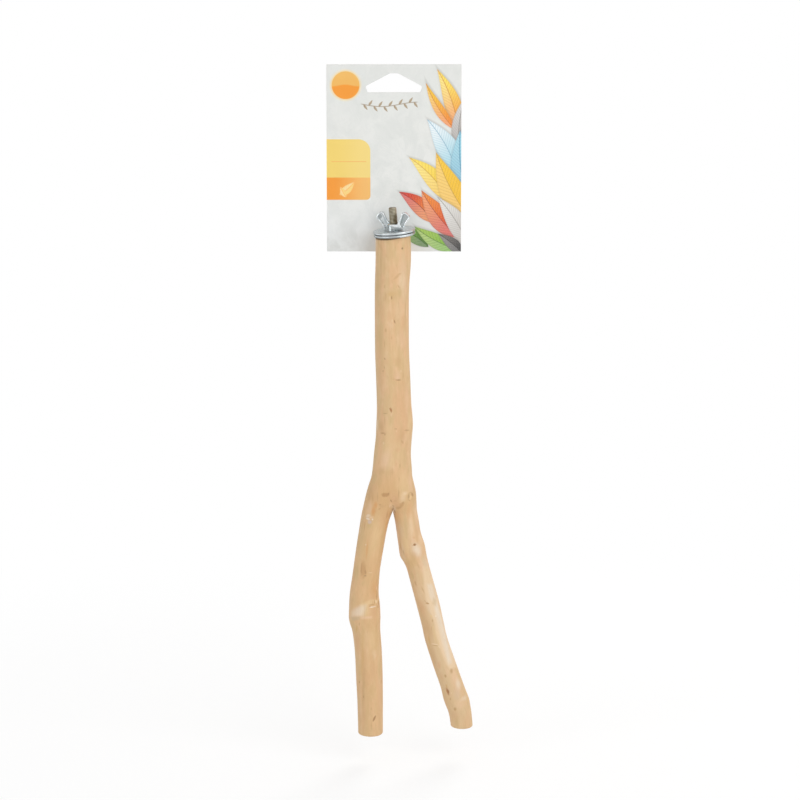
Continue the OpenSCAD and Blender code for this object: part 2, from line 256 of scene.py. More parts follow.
for name, place, size, power, colour in (
    ("key", (1.5, -1.7, 1.1), 2.6, 29, (1.0, 0.983, 0.962)),
    ("fill", (-1.9, -1.5, 0.5), 1.4, 9, (0.97, 0.985, 1.0)),
    ("back", (0.6, 1.6, 1.0), 1.0, 12, (1, 1, 1)),
):
    data = bpy.data.lights.new(name, "AREA")
    data.shape, data.size, data.energy, data.color = "DISK", size, power, colour
    lamp = new_object(name, data)
    lamp.location = place
    lamp.rotation_euler = (LAMPS_AIM - Vector(place)).to_track_quat("-Z", "Y").to_euler()

world = bpy.data.worlds.new("world")
bpy.context.scene.world = world
world.use_nodes = True
net = Net(world.node_tree)
# Polished metal mirrors a pale studio, with a dark room on the camera's side and a dim wall at the left
x, y, z = net.xyz(net.get("ShaderNodeTexCoord", "Generated"))
beside, level = net.step(abs(x + 0.08), 0.30, 0.55, 1.0, 0.0), net.step(abs(z + 0.02), 0.36, 0.56, 1.0, 0.0)
room = beside * level * net.step(y, 0.1, -0.3)
wall = net.step(x, -0.5, -0.8, 0.0, 0.7) * net.step(y, -0.5, -0.2)
mirrored = 1.0 - net.most(room, wall) * MIRRORED_DARK
seen = net.most(net.ray("Camera"), net.ray("Transmission"))
sky = net.mix(seen, net.mix(net.ray("Glossy"), AMBIENT, mirrored), WHITE)
net.feed(world.node_tree.nodes["Background"].inputs, Color=sky, Strength=1.0)


def floor_material():
    """White paper with the object's shadow, which glows further out and isn't there from below."""
    grey = (0.82, 0.82, 0.82, 1)
    mat, net, _ = material("floor_paint", Base_Color=grey, Roughness=0.9, Specular_IOR_Level=0.0)

    def blend(fac, a, b):
        return net.get("ShaderNodeMixShader", 0, {0: fac, 1: a, 2: b})

    away = net.vec("LENGTH", net.get("ShaderNodeTexCoord", "Object"))
    far = net.step(away, GLOW_FROM, GLOW_TO, GLOW_LEAST, 1.0)
    paper = net.get("ShaderNodeBsdfDiffuse", 0, {"Color": WHITE})
    glow = net.get("ShaderNodeEmission", 0, {"Color": WHITE, "Strength": 1.0})
    seen = net.most(net.ray("Camera"), net.most(net.ray("Glossy"), net.ray("Transmission")))
    paint = Value(net, mat.node_tree.nodes["Principled BSDF"].outputs[0])
    top = blend(seen, paint, blend(far, paper, glow))
    below = net.get("ShaderNodeNewGeometry", "Backfacing")
    surface = blend(below, top, net.get("ShaderNodeBsdfTransparent", 0))
    net.feed(mat.node_tree.nodes["Material Output"].inputs, Surface=surface)
    return mat


# The perch hangs just clear of the floor
floor_z = cad_box[0].z - FLOOR_DROP
corners = [(FLOOR_HALF * a, FLOOR_HALF * b, floor_z) for a, b in ((-1, -1), (1, -1), (1, 1), (-1, 1))]
floor = mesh_object("floor", corners, [(0, 1, 2, 3)])
floor.data.materials.append(floor_material())

# The stick's shape, in mm

STICK_L, FORK_AT = 371.5, 203.5
TRUNK_R, LEFT_R, RIGHT_R = 12.5, 10.0, 8.5
LEFT_L, RIGHT_L = STICK_L - FORK_AT, STICK_L - FORK_AT - 3.0
LEFT_GAP, RIGHT_GAP, SWAY, END_ROUND = 10.0, 43.0, 4.0, 1.2
BOLT_RIGHT, BOLT_LEAN = 0.4, math.radians(4.5)
CROTCH_X = -0.08 * TRUNK_R - BOLT_RIGHT
# The trunk narrows to a waist from this place on and parts at this share of its depth
GROOVE_AT, WAIST = 0.842, 0.24
RIDGES, RIDGE, TWIST, FADE = 3, 0.014, 0.9, 0.12
# How finely the skin is drawn: points round half of the trunk and across the waist, and numbers of rings
HALF, ACROSS = 72, 12
TRUNK_RINGS, PARTING_RINGS, LIMB_RINGS, END_RINGS = 190, 40, 210, 7
# The trunk is drawn this much too long and then sawn off
SAW_SPARE = 0.16 * TRUNK_R

# (place along, middle, reach to the left, reach to the right, depth, sway), in radii of the trunk
TRUNK = np.array([
    (-0.01, -0.06, 1, 1, 0.98, 0), (0.09, -0.05, 1.015, 1.015, 0.99, 0),
    (0.2, -0.13, 0.985, 0.985, 0.99, 0.02), (0.4, -0.13, 0.985, 0.98, 0.97, 0.06),
    (0.52, -0.065, 0.99, 0.99, 0.98, 0.06), (0.61, -0.01, 1, 1, 0.99, 0.04),
    (0.65, 0.015, 1.035, 1.04, 1.02, 0.03), (0.685, 0.012, 1.065, 1.07, 1.04, 0.01),
    (0.725, -0.02, 1.055, 1.05, 1.03, 0), (0.785, -0.1, 1.08, 1.07, 1.04, -0.02),
    (0.84, -0.112, 1.145, 1.135, 1.06, -0.03), (0.872, -0.12, 1.21, 1.175, 1.07, -0.03),
    (0.9, -0.112, 1.36, 1.27, 1.08, -0.02), (0.93, -0.1, 1.505, 1.365, 1.09, -0.01),
    (0.96, -0.088, 1.63, 1.39, 1.08, 0), (0.99, -0.08, 1.745, 1.405, 1.06, 0),
    (1, -0.08, 1.785, 1.42, 1.05, 0),
])
# (place along, half width, half depth, share of the gap, share of the sway), the halves in radii of the limb
LEFT = np.array([
    (0, 1.115, 1.1, 0, 0), (0.04, 1.05, 1.04, 0.25, -0.02), (0.095, 1.015, 1, 0.465, -0.06),
    (0.15, 1.005, 0.98, 0.625, -0.12), (0.255, 0.98, 0.97, 0.92, -0.25), (0.31, 1, 0.99, 1, -0.34),
    (0.365, 1.055, 1.05, 1.025, -0.42), (0.42, 1.13, 1.11, 0.93, -0.48), (0.473, 1.16, 1.13, 0.89, -0.52),
    (0.5, 1.115, 1.07, 0.905, -0.53), (0.527, 1.04, 1.02, 0.91, -0.54), (0.56, 1.01, 1, 0.87, -0.56),
    (0.635, 0.99, 0.98, 0.79, -0.62), (0.745, 0.98, 0.97, 0.73, -0.72), (0.855, 0.94, 0.95, 0.72, -0.86),
    (0.965, 0.915, 0.93, 0.725, -0.97), (1, 0.91, 0.92, 0.73, -1),
])
RIGHT = np.array([
    (0, 1.045, 1.03, 0, 0), (0.042, 1.025, 1.01, 0.035, 0.02), (0.096, 1.035, 1, 0.065, 0.05),
    (0.152, 1.13, 1.05, 0.095, 0.09), (0.206, 1.14, 1.08, 0.128, 0.15), (0.233, 1.05, 1.04, 0.188, 0.18),
    (0.261, 1, 0.99, 0.235, 0.22), (0.316, 1, 0.96, 0.293, 0.3), (0.426, 1.01, 0.97, 0.402, 0.5),
    (0.537, 0.97, 0.94, 0.506, 0.7), (0.593, 0.995, 0.95, 0.55, 0.79), (0.7, 1.02, 0.98, 0.675, 0.93),
    (0.816, 1.035, 1, 0.823, 1.02), (0.871, 1.11, 1.05, 0.873, 1.03), (0.9, 1.07, 1.03, 0.91, 1.03),
    (0.927, 1.01, 1, 0.951, 1.02), (0.955, 0.975, 0.97, 0.977, 1.01), (1, 0.95, 0.95, 1, 1),
])
LIMBS = {-1: (LEFT, LEFT_R, LEFT_GAP, LEFT_L), 1: (RIGHT, RIGHT_R, RIGHT_GAP, RIGHT_L)}


def slope(table, col, i):
    a, b = max(i - 1, 0), min(i + 1, len(table) - 1)
    return (table[b, col] - table[a, col]) / (table[b, 0] - table[a, 0])


def along(table, col, p):
    """Value of a column at place p, on a smooth curve through the rows."""
    i = int(np.clip(np.searchsorted(table[:, 0], p, side="right") - 1, 0, len(table) - 2))
    h = table[i + 1, 0] - table[i, 0]
    t = (p - table[i, 0]) / h
    t2, t3 = t * t, t * t * t
    return (
        (2 * t3 - 3 * t2 + 1) * table[i, col]
        + (t3 - 2 * t2 + t) * h * slope(table, col, i)
        + (3 * t2 - 2 * t3) * table[i + 1, col]
        + (t3 - t2) * h * slope(table, col, i + 1)
    )


WAIST_FULL = along(TRUNK, 4, 1.0) * TRUNK_R
TRUNK_MID = along(TRUNK, 1, 1.0) * TRUNK_R - BOLT_RIGHT


def ridges(angle, depth):
    """Low ridges that wind down the stick and fade at the fork, as a factor of the radius."""
    fade = smooth_step(abs(depth - FORK_AT) / (FADE * FORK_AT))
    return 1 + RIDGE * fade * np.sin(RIDGES * angle + math.radians(TWIST * 360 * depth / STICK_L))


def groove(p):
    """How much of the trunk's depth is left at its waist, where the limbs part."""
    u = max(0.0, (p - GROOVE_AT) / (1 - GROOVE_AT))
    return math.sqrt(max(0.0, 1 - u**3))


def groove_place(share):
    """The place at which the groove leaves this share of the waist."""
    return GROOVE_AT + (1 - GROOVE_AT) * (1 - share * share) ** (1 / 3)


def trunk_ring(p, angle):
    """Points of the trunk at place p, and the same from the pith, which the grain follows."""
    mid, left, right, deep, sway = (along(TRUNK, col, p) * TRUNK_R for col in range(1, 6))
    reach = np.where(np.cos(angle) < 0, left, right)
    r = np.hypot(reach * np.cos(angle), deep * groove(p) * np.sin(angle)) * ridges(angle, p * FORK_AT)
    x, y = r * np.cos(angle), r * np.sin(angle)
    z = np.full_like(x, -p * FORK_AT)
    return np.stack([mid - BOLT_RIGHT + x, sway + y, z], 1), np.stack([x, y, z], 1)


def limb_section(side, q, inset=0.0):
    """Half width, half depth, centre and sway of a limb at place q."""
    table, r, gap, _ = LIMBS[side]
    rx, ry = along(table, 1, q) * r - inset, along(table, 2, q) * r - inset
    return rx, ry, CROTCH_X + side * (along(table, 3, q) * gap + rx + inset), along(table, 4, q) * SWAY


def limb_ring(side, q, angle, inset=0.0):
    """Points of a limb at place q, and the same from the pith, which the grain follows."""
    rx, ry, mid, sway = limb_section(side, q, inset)
    depth = FORK_AT + q * LIMBS[side][3]
    k = ridges(angle, depth)
    x, y = k * rx * np.cos(angle), k * ry * np.sin(angle)
    z = np.full_like(x, -depth)
    shift = limb_section(side, 0.0)[2] - TRUNK_MID
    return np.stack([mid + x, sway + y, z], 1), np.stack([x + shift, y, z], 1)


def limb_angles(side, q):
    """Angles of a limb's points, which spread evenly below the fork."""
    even = math.pi * ACROSS / (HALF + ACROSS)
    tight = math.asin(min(1.0, WAIST * WAIST_FULL / limb_section(side, 0.0)[1]))
    opened = tight + (even - tight) * min(1.0, q / FADE)
    i = np.arange(HALF + ACROSS)
    outer = opened + (2 * math.pi - 2 * opened) * i / HALF
    inner = 2 * math.pi - opened + 2 * opened * (i - HALF) / ACROSS
    return (0 if side < 0 else math.pi) - np.where(i <= HALF, outer, inner)


def build_stick():
    """The skin's points, its grain coordinates, its faces and the ranges of those on the limbs' ends."""
    points, grain, faces, ends = [], [], [], []

    def add(ring, flow):
        """Adds a ring of points and gives back their numbers."""
        start = sum(map(len, points))
        points.append(ring)
        grain.append(flow)
        return list(range(start, start + len(ring)))

    top = -SAW_SPARE / FORK_AT
    places = [top + (GROOVE_AT - top) * j / TRUNK_RINGS for j in range(TRUNK_RINGS + 1)]
    parting = math.acos(WAIST)
    places += [groove_place(math.cos(parting * j / PARTING_RINGS)) for j in range(1, PARTING_RINGS + 1)]
    angle = -math.pi / 2 - math.pi * np.arange(2 * HALF) / HALF
    rings = [add(*trunk_ring(p, angle)) for p in places]
    shares = [WAIST * (1 - 2 * j / ACROSS) for j in range(1, ACROSS)]
    heights = [-groove_place(abs(share)) * FORK_AT for share in shares]
    waist = np.array([(CROTCH_X, share * WAIST_FULL, z) for share, z in zip(shares, heights)])
    seam = add(waist, waist - np.array([TRUNK_MID, 0, 0]))
    for upper, lower in zip(rings, rings[1:]):
        faces += band(upper, lower)
    faces.append(rings[0][::-1])

    last = rings[-1]
    for side, upper in ((-1, last[:HALF + 1] + seam), (1, last[HALF:] + last[:1] + seam[::-1])):
        end = 1 - END_ROUND / LIMBS[side][3]
        sections = [(end * (j / LIMB_RINGS) ** 1.25, 0.0) for j in range(1, LIMB_RINGS + 1)]
        for j in range(1, END_RINGS + 1):
            a = math.pi / 2 * j / END_RINGS
            sections.append((end + (1 - end) * math.sin(a), END_ROUND * (1 - math.cos(a))))
        for q, inset in sections:
            lower = add(*limb_ring(side, q, limb_angles(side, q), inset))
            faces += band(upper, lower)
            upper = lower
        rim, first = points[-1], len(faces)
        middle = rim.mean(0)
        for share in (0.8, 0.6, 0.4, 0.2):
            lower = add(middle + (rim - middle) * share, (rim - middle) * share)
            faces += band(upper, lower)
            upper = lower
        faces.append(upper)
        ends.append((first, len(faces)))
    return np.concatenate(points), np.concatenate(grain), faces, ends


points, grain, faces, ends = build_stick()
stick = mesh_object("wood_stick", points, faces)
mesh = stick.data
normals = np.zeros(len(points) * 3, np.float32)
mesh.vertices.foreach_get("normal", normals)
normals = normals.reshape(-1, 3).astype(float)

# The stick's marks, in pixels of the photo

VIEW_SLOPE = math.tan(CAMERA_DOWN)
# The photo's middle and the camera's focal length in pixels, and the size of a pixel at the stick in mm
PHOTO_MID = 400
FOCAL = LENS / SENSOR * 2 * PHOTO_MID
PIXEL = -CAMERA_PLACE[1] / math.cos(CAMERA_DOWN) / FOCAL / MM

# Colours of the wood's marks and of its painted highlights and shade, as they show on screen
UMBER, BROWN, TAN, DARK = srgb(158, 116, 74), srgb(188, 146, 100), srgb(204, 165, 121), srgb(110, 75, 48)
RUST, ORANGE, OCHRE, OLIVE = srgb(160, 96, 44), srgb(214, 156, 98), srgb(210, 170, 114), srgb(207, 177, 128)
ROSE, PINK, HONEY, CREAM = srgb(217, 174, 132), srgb(229, 194, 158), srgb(225, 194, 147), srgb(234, 207, 171)
MILK, LILAC, SCAR_AND_HIGHLIGHT = srgb(233, 214, 190), srgb(208, 186, 172), srgb(238, 224, 205)
GOLD, BUFF, LEDGE_SHADE = srgb(212, 172, 122), srgb(220, 192, 152), srgb(202, 178, 144)

# Specks, knots, scars and grain lines where the photo shows them: (x, y, half width, half length, colour,
# strength, degrees it leans to the right, softness, relief in mm), of which the last three may be left out
FINE = [
    # the low bump at 397.8, 375 has a pink centre, painted shade along its lower rim (the marks at 398.2,
    # 380.6 and 398.5, 380.4) and a painted highlight on its top (the mark at 400.6, 370.6)
    (397.8, 375, 3.6, 5, PINK, 0.5, 0, 1, 0.8), (398.2, 380.6, 0.9, 3, BROWN, 0.6, 95, 0.9, -0.2),
    (402.5, 248.6, 0.95, 1.4, DARK, 0.65, 0, 0.9, -0.3), (380.9, 263, 0.5, 12, BROWN, 0.35, 0, 1),
    (396.8, 276.6, 1.3, 5.2, TAN, 0.6, 48, 0.8, -0.1), (399.2, 273.3, 0.9, 2.4, TAN, 0.5, 80),
    (398.6, 286.2, 0.8, 2, BROWN, 0.5, -30), (384.8, 286, 0.8, 2.2, BROWN, 0.35),
    (386, 296.3, 1.2, 4.4, TAN, 0.5), (391.4, 297.4, 0.75, 1.9, UMBER, 0.7, 0, 0.7, -0.15),
    (389.3, 298, 0.9, 2.4, PINK, 0.5), (405.3, 310, 0.7, 11, BROWN, 0.4),
    (406.3, 313, 0.5, 7, CREAM, 0.4, 0, 1), (394.5, 321.5, 0.65, 2.2, UMBER, 0.7, -20, 0.7, -0.15),
    (392, 321, 0.9, 1.8, CREAM, 0.35), (386, 330, 1.1, 2.2, BROWN, 0.4, 0, 0.8),
    (391.4, 337.4, 0.7, 2.3, BROWN, 0.3), (384.7, 344, 0.6, 4.6, BROWN, 0.35),
    (384.8, 359, 0.9, 1.4, UMBER, 0.45, -40, 0.8, -0.1), (384.7, 367, 0.6, 2.5, UMBER, 0.35),
    (383, 371.3, 0.9, 1.3, UMBER, 0.3, 45), (398.5, 380.4, 0.65, 2.5, UMBER, 0.5, 90, 0.9, -0.15),
    (403.2, 375.8, 0.5, 4.2, BROWN, 0.4, 6), (394, 379, 0.6, 1.8, BROWN, 0.3, 70),
    (400.6, 370.6, 1.3, 1.5, CREAM, 0.25), (390.9, 410.5, 1.15, 2.7, RUST, 0.75, -8, 0.8, -0.15),
    (389.4, 408.8, 0.5, 0.9, RUST, 0.35), (391.5, 414.7, 0.8, 1.9, PINK, 0.6),
    (385, 413.8, 0.5, 2.6, UMBER, 0.4, 90), (384.7, 421, 0.5, 6.5, BROWN, 0.4),
    (382.8, 433.6, 1, 3.4, UMBER, 0.5, 92, 1, -0.12), (385.2, 434.2, 0.8, 1.1, UMBER, 0.5),
    (407, 429.9, 1, 3.4, UMBER, 0.4, 88, 1, -0.12), (395.6, 428.8, 0.5, 1.9, UMBER, 0.45, 90),
    (396.9, 431, 0.7, 1.1, PINK, 0.5), (402.2, 442.5, 1, 2.7, BROWN, 0.45, -30),
    (383.5, 443.5, 0.9, 1.8, CREAM, 0.4), (400, 466.3, 0.9, 2.3, BROWN, 0.35),
    (399.4, 478, 0.6, 3, BROWN, 0.35), (385.4, 494.4, 2.1, 3.9, BROWN, 0.85, 92, 0.5, -0.1),
    (383, 494.8, 1.3, 1.6, BROWN, 0.4, 0, 0.7), (388.6, 494.2, 1.1, 1.3, UMBER, 0.6, 0, 0.8),
    (398.2, 494, 0.5, 6.5, BROWN, 0.45), (410.2, 496.8, 1.6, 2.4, HONEY, 0.8, 0, 0.8, 0.15),
    (410.3, 492.6, 0.7, 1.8, BROWN, 0.4, 70, 0.8), (412.2, 494.4, 1.1, 2.2, UMBER, 0.55, -25, 0.8, -0.1),
    (408.3, 496.6, 1.1, 3.4, UMBER, 0.45, 4, 0.9, -0.1), (409.3, 500.4, 0.7, 1.6, BROWN, 0.5, -50, 0.8),
    # a knot's brown lobe at 401.9, 504.2 and 398.8, 507.6 is in part painted shade of its bump, with a
    # painted highlight on its top (the mark at 401.4, 502.3)
    (401.9, 504.2, 2.4, 4, BROWN, 0.6, 32, 0.9, 0.3), (398.8, 507.6, 1.9, 3.6, BROWN, 0.55, 75, 1, 0.15),
    (403, 502.6, 0.8, 1.6, UMBER, 0.3), (401.4, 502.3, 0.5, 2.3, PINK, 0.5, 66, 0.9, 0.1),
    (391.2, 501.2, 0.8, 1.7, UMBER, 0.6, -30, 0.8, -0.1), (395.2, 501, 0.6, 2, BROWN, 0.5, 90, 0.8),
    (389.6, 506.5, 0.8, 2, PINK, 0.6, 10), (392.8, 508.9, 1.3, 2.2, UMBER, 0.6, 20, 0.8, -0.15),
    (392.6, 510, 1, 1.3, DARK, 0.15), (380.6, 504.5, 0.7, 1.4, BROWN, 0.6, 90, 0.8),
    (379.2, 509, 0.8, 1.6, BROWN, 0.5, 60, 0.8), (393.4, 506.3, 0.7, 1.7, UMBER, 0.5, -40),
    (394.9, 511.4, 0.7, 2, UMBER, 0.7, -12, 0.8), (387.4, 515, 0.9, 5.5, RUST, 0.3, 12, 1),
    (374, 511.5, 2.4, 6, ORANGE, 0.75, 4, 1), (376, 505.4, 2.2, 4.2, ORANGE, 0.7, 8, 1),
    (373.1, 499, 0.5, 4.2, BROWN, 0.45), (377.3, 497.3, 0.7, 6, BROWN, 0.4),
    (368, 516, 1.8, 3, MILK, 0.6, 70, 0.8, -0.1), (370.6, 517.6, 1.2, 3, PINK, 0.7, 80, 0.8),
    (368.4, 519.2, 0.8, 2.6, SCAR_AND_HIGHLIGHT, 0.8, 100, 0.7, 0.1), (372.6, 519.2, 0.9, 1.1, SCAR_AND_HIGHLIGHT, 0.7, 0, 0.8, 0.1),
    (368.5, 517.6, 0.6, 1.5, LILAC, 0.6, 90, 0.8, -0.1),
    (369.4, 521.9, 2.4, 2.4, LILAC, 0.8, 0, 0.8, -0.12), (364.8, 526.5, 0.7, 6, BROWN, 0.5, 8),
    (386.3, 524, 1.1, 8, ORANGE, 0.45, 12, 1), (367.1, 549, 1.2, 11, ORANGE, 0.5, 5, 1),
    (365.7, 544.7, 0.8, 1, MILK, 0.45), (413.8, 537.6, 1.2, 1.8, ROSE, 0.65, 90),
    (415.1, 545, 1.2, 1.8, UMBER, 0.95, 80, 0.7, -0.4), (415, 545.2, 0.6, 0.9, DARK, 0.5, 80),
    (412.9, 545.6, 0.5, 1.6, BROWN, 0.5, 80), (400.9, 547, 1, 7, BROWN, 0.55, -8, 1),
    (403.6, 552.5, 0.8, 3.4, UMBER, 0.35, -12, 1), (418, 566, 1.2, 4.5, TAN, 0.5, -20, 1),
    (427, 569.5, 1.1, 1.8, HONEY, 0.6), (412.5, 576, 1.1, 4.2, OLIVE, 0.8, -14),
    (415.3, 583, 1.1, 3.4, BROWN, 0.45, -12), (422.5, 590, 0.7, 4.2, BROWN, 0.4, -25),
    (427.4, 603.2, 1, 2.2, BROWN, 0.85, 105, 0.7, -0.15), (425, 600.9, 0.6, 1.5, BROWN, 0.5, -40),
    # small ridges on the right limb: the pale marks at 430.4, 615, 431.5, 616.4, 435.3, 616.4 and 432.9,
    # 627.5 are painted highlight on them, and the brown marks at 432.4, 621 and 431.8, 628 painted shadow
    # beside them
    (430.4, 615, 0.7, 2.8, HONEY, 0.7, -32, 0.7, 0.12), (431.5, 616.4, 1, 1.4, HONEY, 0.8, 0, 0.7, 0.12),
    (435.3, 616.4, 1, 1.2, SCAR_AND_HIGHLIGHT, 0.6, 0, 0.8, 0.12), (432.4, 621, 0.8, 1.9, BROWN, 0.55, 0, 0.9, -0.1),
    (432.9, 627.5, 0.7, 2.8, HONEY, 0.7, 0, 0.9, 0.1), (431.8, 628, 0.45, 2.5, BROWN, 0.4),
    (434.6, 644, 0.8, 3.6, CREAM, 0.85, 97, 0.6, 0.2), (435, 645.6, 0.7, 3.8, BROWN, 0.5, 100, 0.8, -0.1),
    (438.8, 646.4, 0.7, 2.2, CREAM, 0.7, 150, 0.8, 0.15), (438.8, 643, 0.7, 3.6, HONEY, 0.7, 0, 0.9, 0.12),
    (428.9, 640, 1.2, 5.5, OCHRE, 0.6, -12, 1), (451.6, 670.8, 1.6, 3, BROWN, 0.65, -8, 0.9, -0.1),
    (445, 676.3, 1.3, 1.9, BROWN, 0.75, -10, 0.9, -0.1),
    (447.7, 691.2, 1.6, 4.6, RUST, 0.7, -16, 0.8, -0.2), (448, 692, 0.9, 2.3, DARK, 0.25, -14, 0.9, -0.1),
    (446.4, 686.4, 0.9, 2.8, OCHRE, 0.7, -14), (451, 693, 0.7, 1, CREAM, 0.6),
    (450.2, 699, 0.8, 1.9, BROWN, 0.5), (455.4, 708.8, 1.7, 1.9, BROWN, 0.7, 0, 0.9, -0.15),
    (363.3, 569.8, 3.2, 9.8, BROWN, 0.6, 2, 0.8, -0.12), (365.1, 573, 0.9, 3.6, UMBER, 0.4, 0, 0.9, -0.1),
    (365.4, 575.6, 0.6, 1.7, DARK, 0.55, 90, 0.8), (361.2, 568, 0.8, 8, UMBER, 0.25),
    (370, 572.6, 0.6, 2.2, CREAM, 0.5, 90), (376.9, 595, 0.8, 5.5, UMBER, 0.4, 0, 1),
    (376.4, 588.6, 0.6, 2.6, PINK, 0.6), (372.4, 602, 0.6, 2.3, TAN, 0.8, 0, 0.8, -0.1),
    (374.5, 602.2, 0.6, 2.6, BROWN, 0.8, 0, 0.8, -0.15),
    (376.4, 601.4, 0.9, 1.8, CREAM, 0.8, -30, 0.7, 0.1), (378.3, 602.4, 0.8, 3, BROWN, 0.8, 0, 0.7, -0.1),
    (372.8, 606.8, 0.75, 4.6, SCAR_AND_HIGHLIGHT, 0.6, 78, 0.8, 0.12), (371, 607.7, 0.7, 1.6, SCAR_AND_HIGHLIGHT, 0.5, 80, 0.8),
    (372, 605.2, 0.8, 4.4, BROWN, 0.7, 84, 0.8, -0.2), (369.6, 605.8, 0.8, 1.4, BROWN, 0.5, 80, 0.7),
    (378, 607, 0.7, 1.6, UMBER, 0.5), (357, 629, 1.2, 4.2, OCHRE, 0.8, 5),
    (359.4, 624, 0.5, 2.2, UMBER, 0.35), (359.4, 682.6, 0.6, 1.5, UMBER, 0.5, 0, 0.8, -0.1),
    (363.5, 697, 0.6, 1.6, UMBER, 0.45, 0, 0.8), (381.2, 682, 0.5, 1.9, BROWN, 0.5),
    (374, 718.7, 1.1, 3.6, UMBER, 0.75, 24, 0.6, -0.15), (371.7, 709, 0.5, 1.6, BROWN, 0.45),
    (371.2, 725, 0.6, 6, BROWN, 0.35, 0, 1),
]
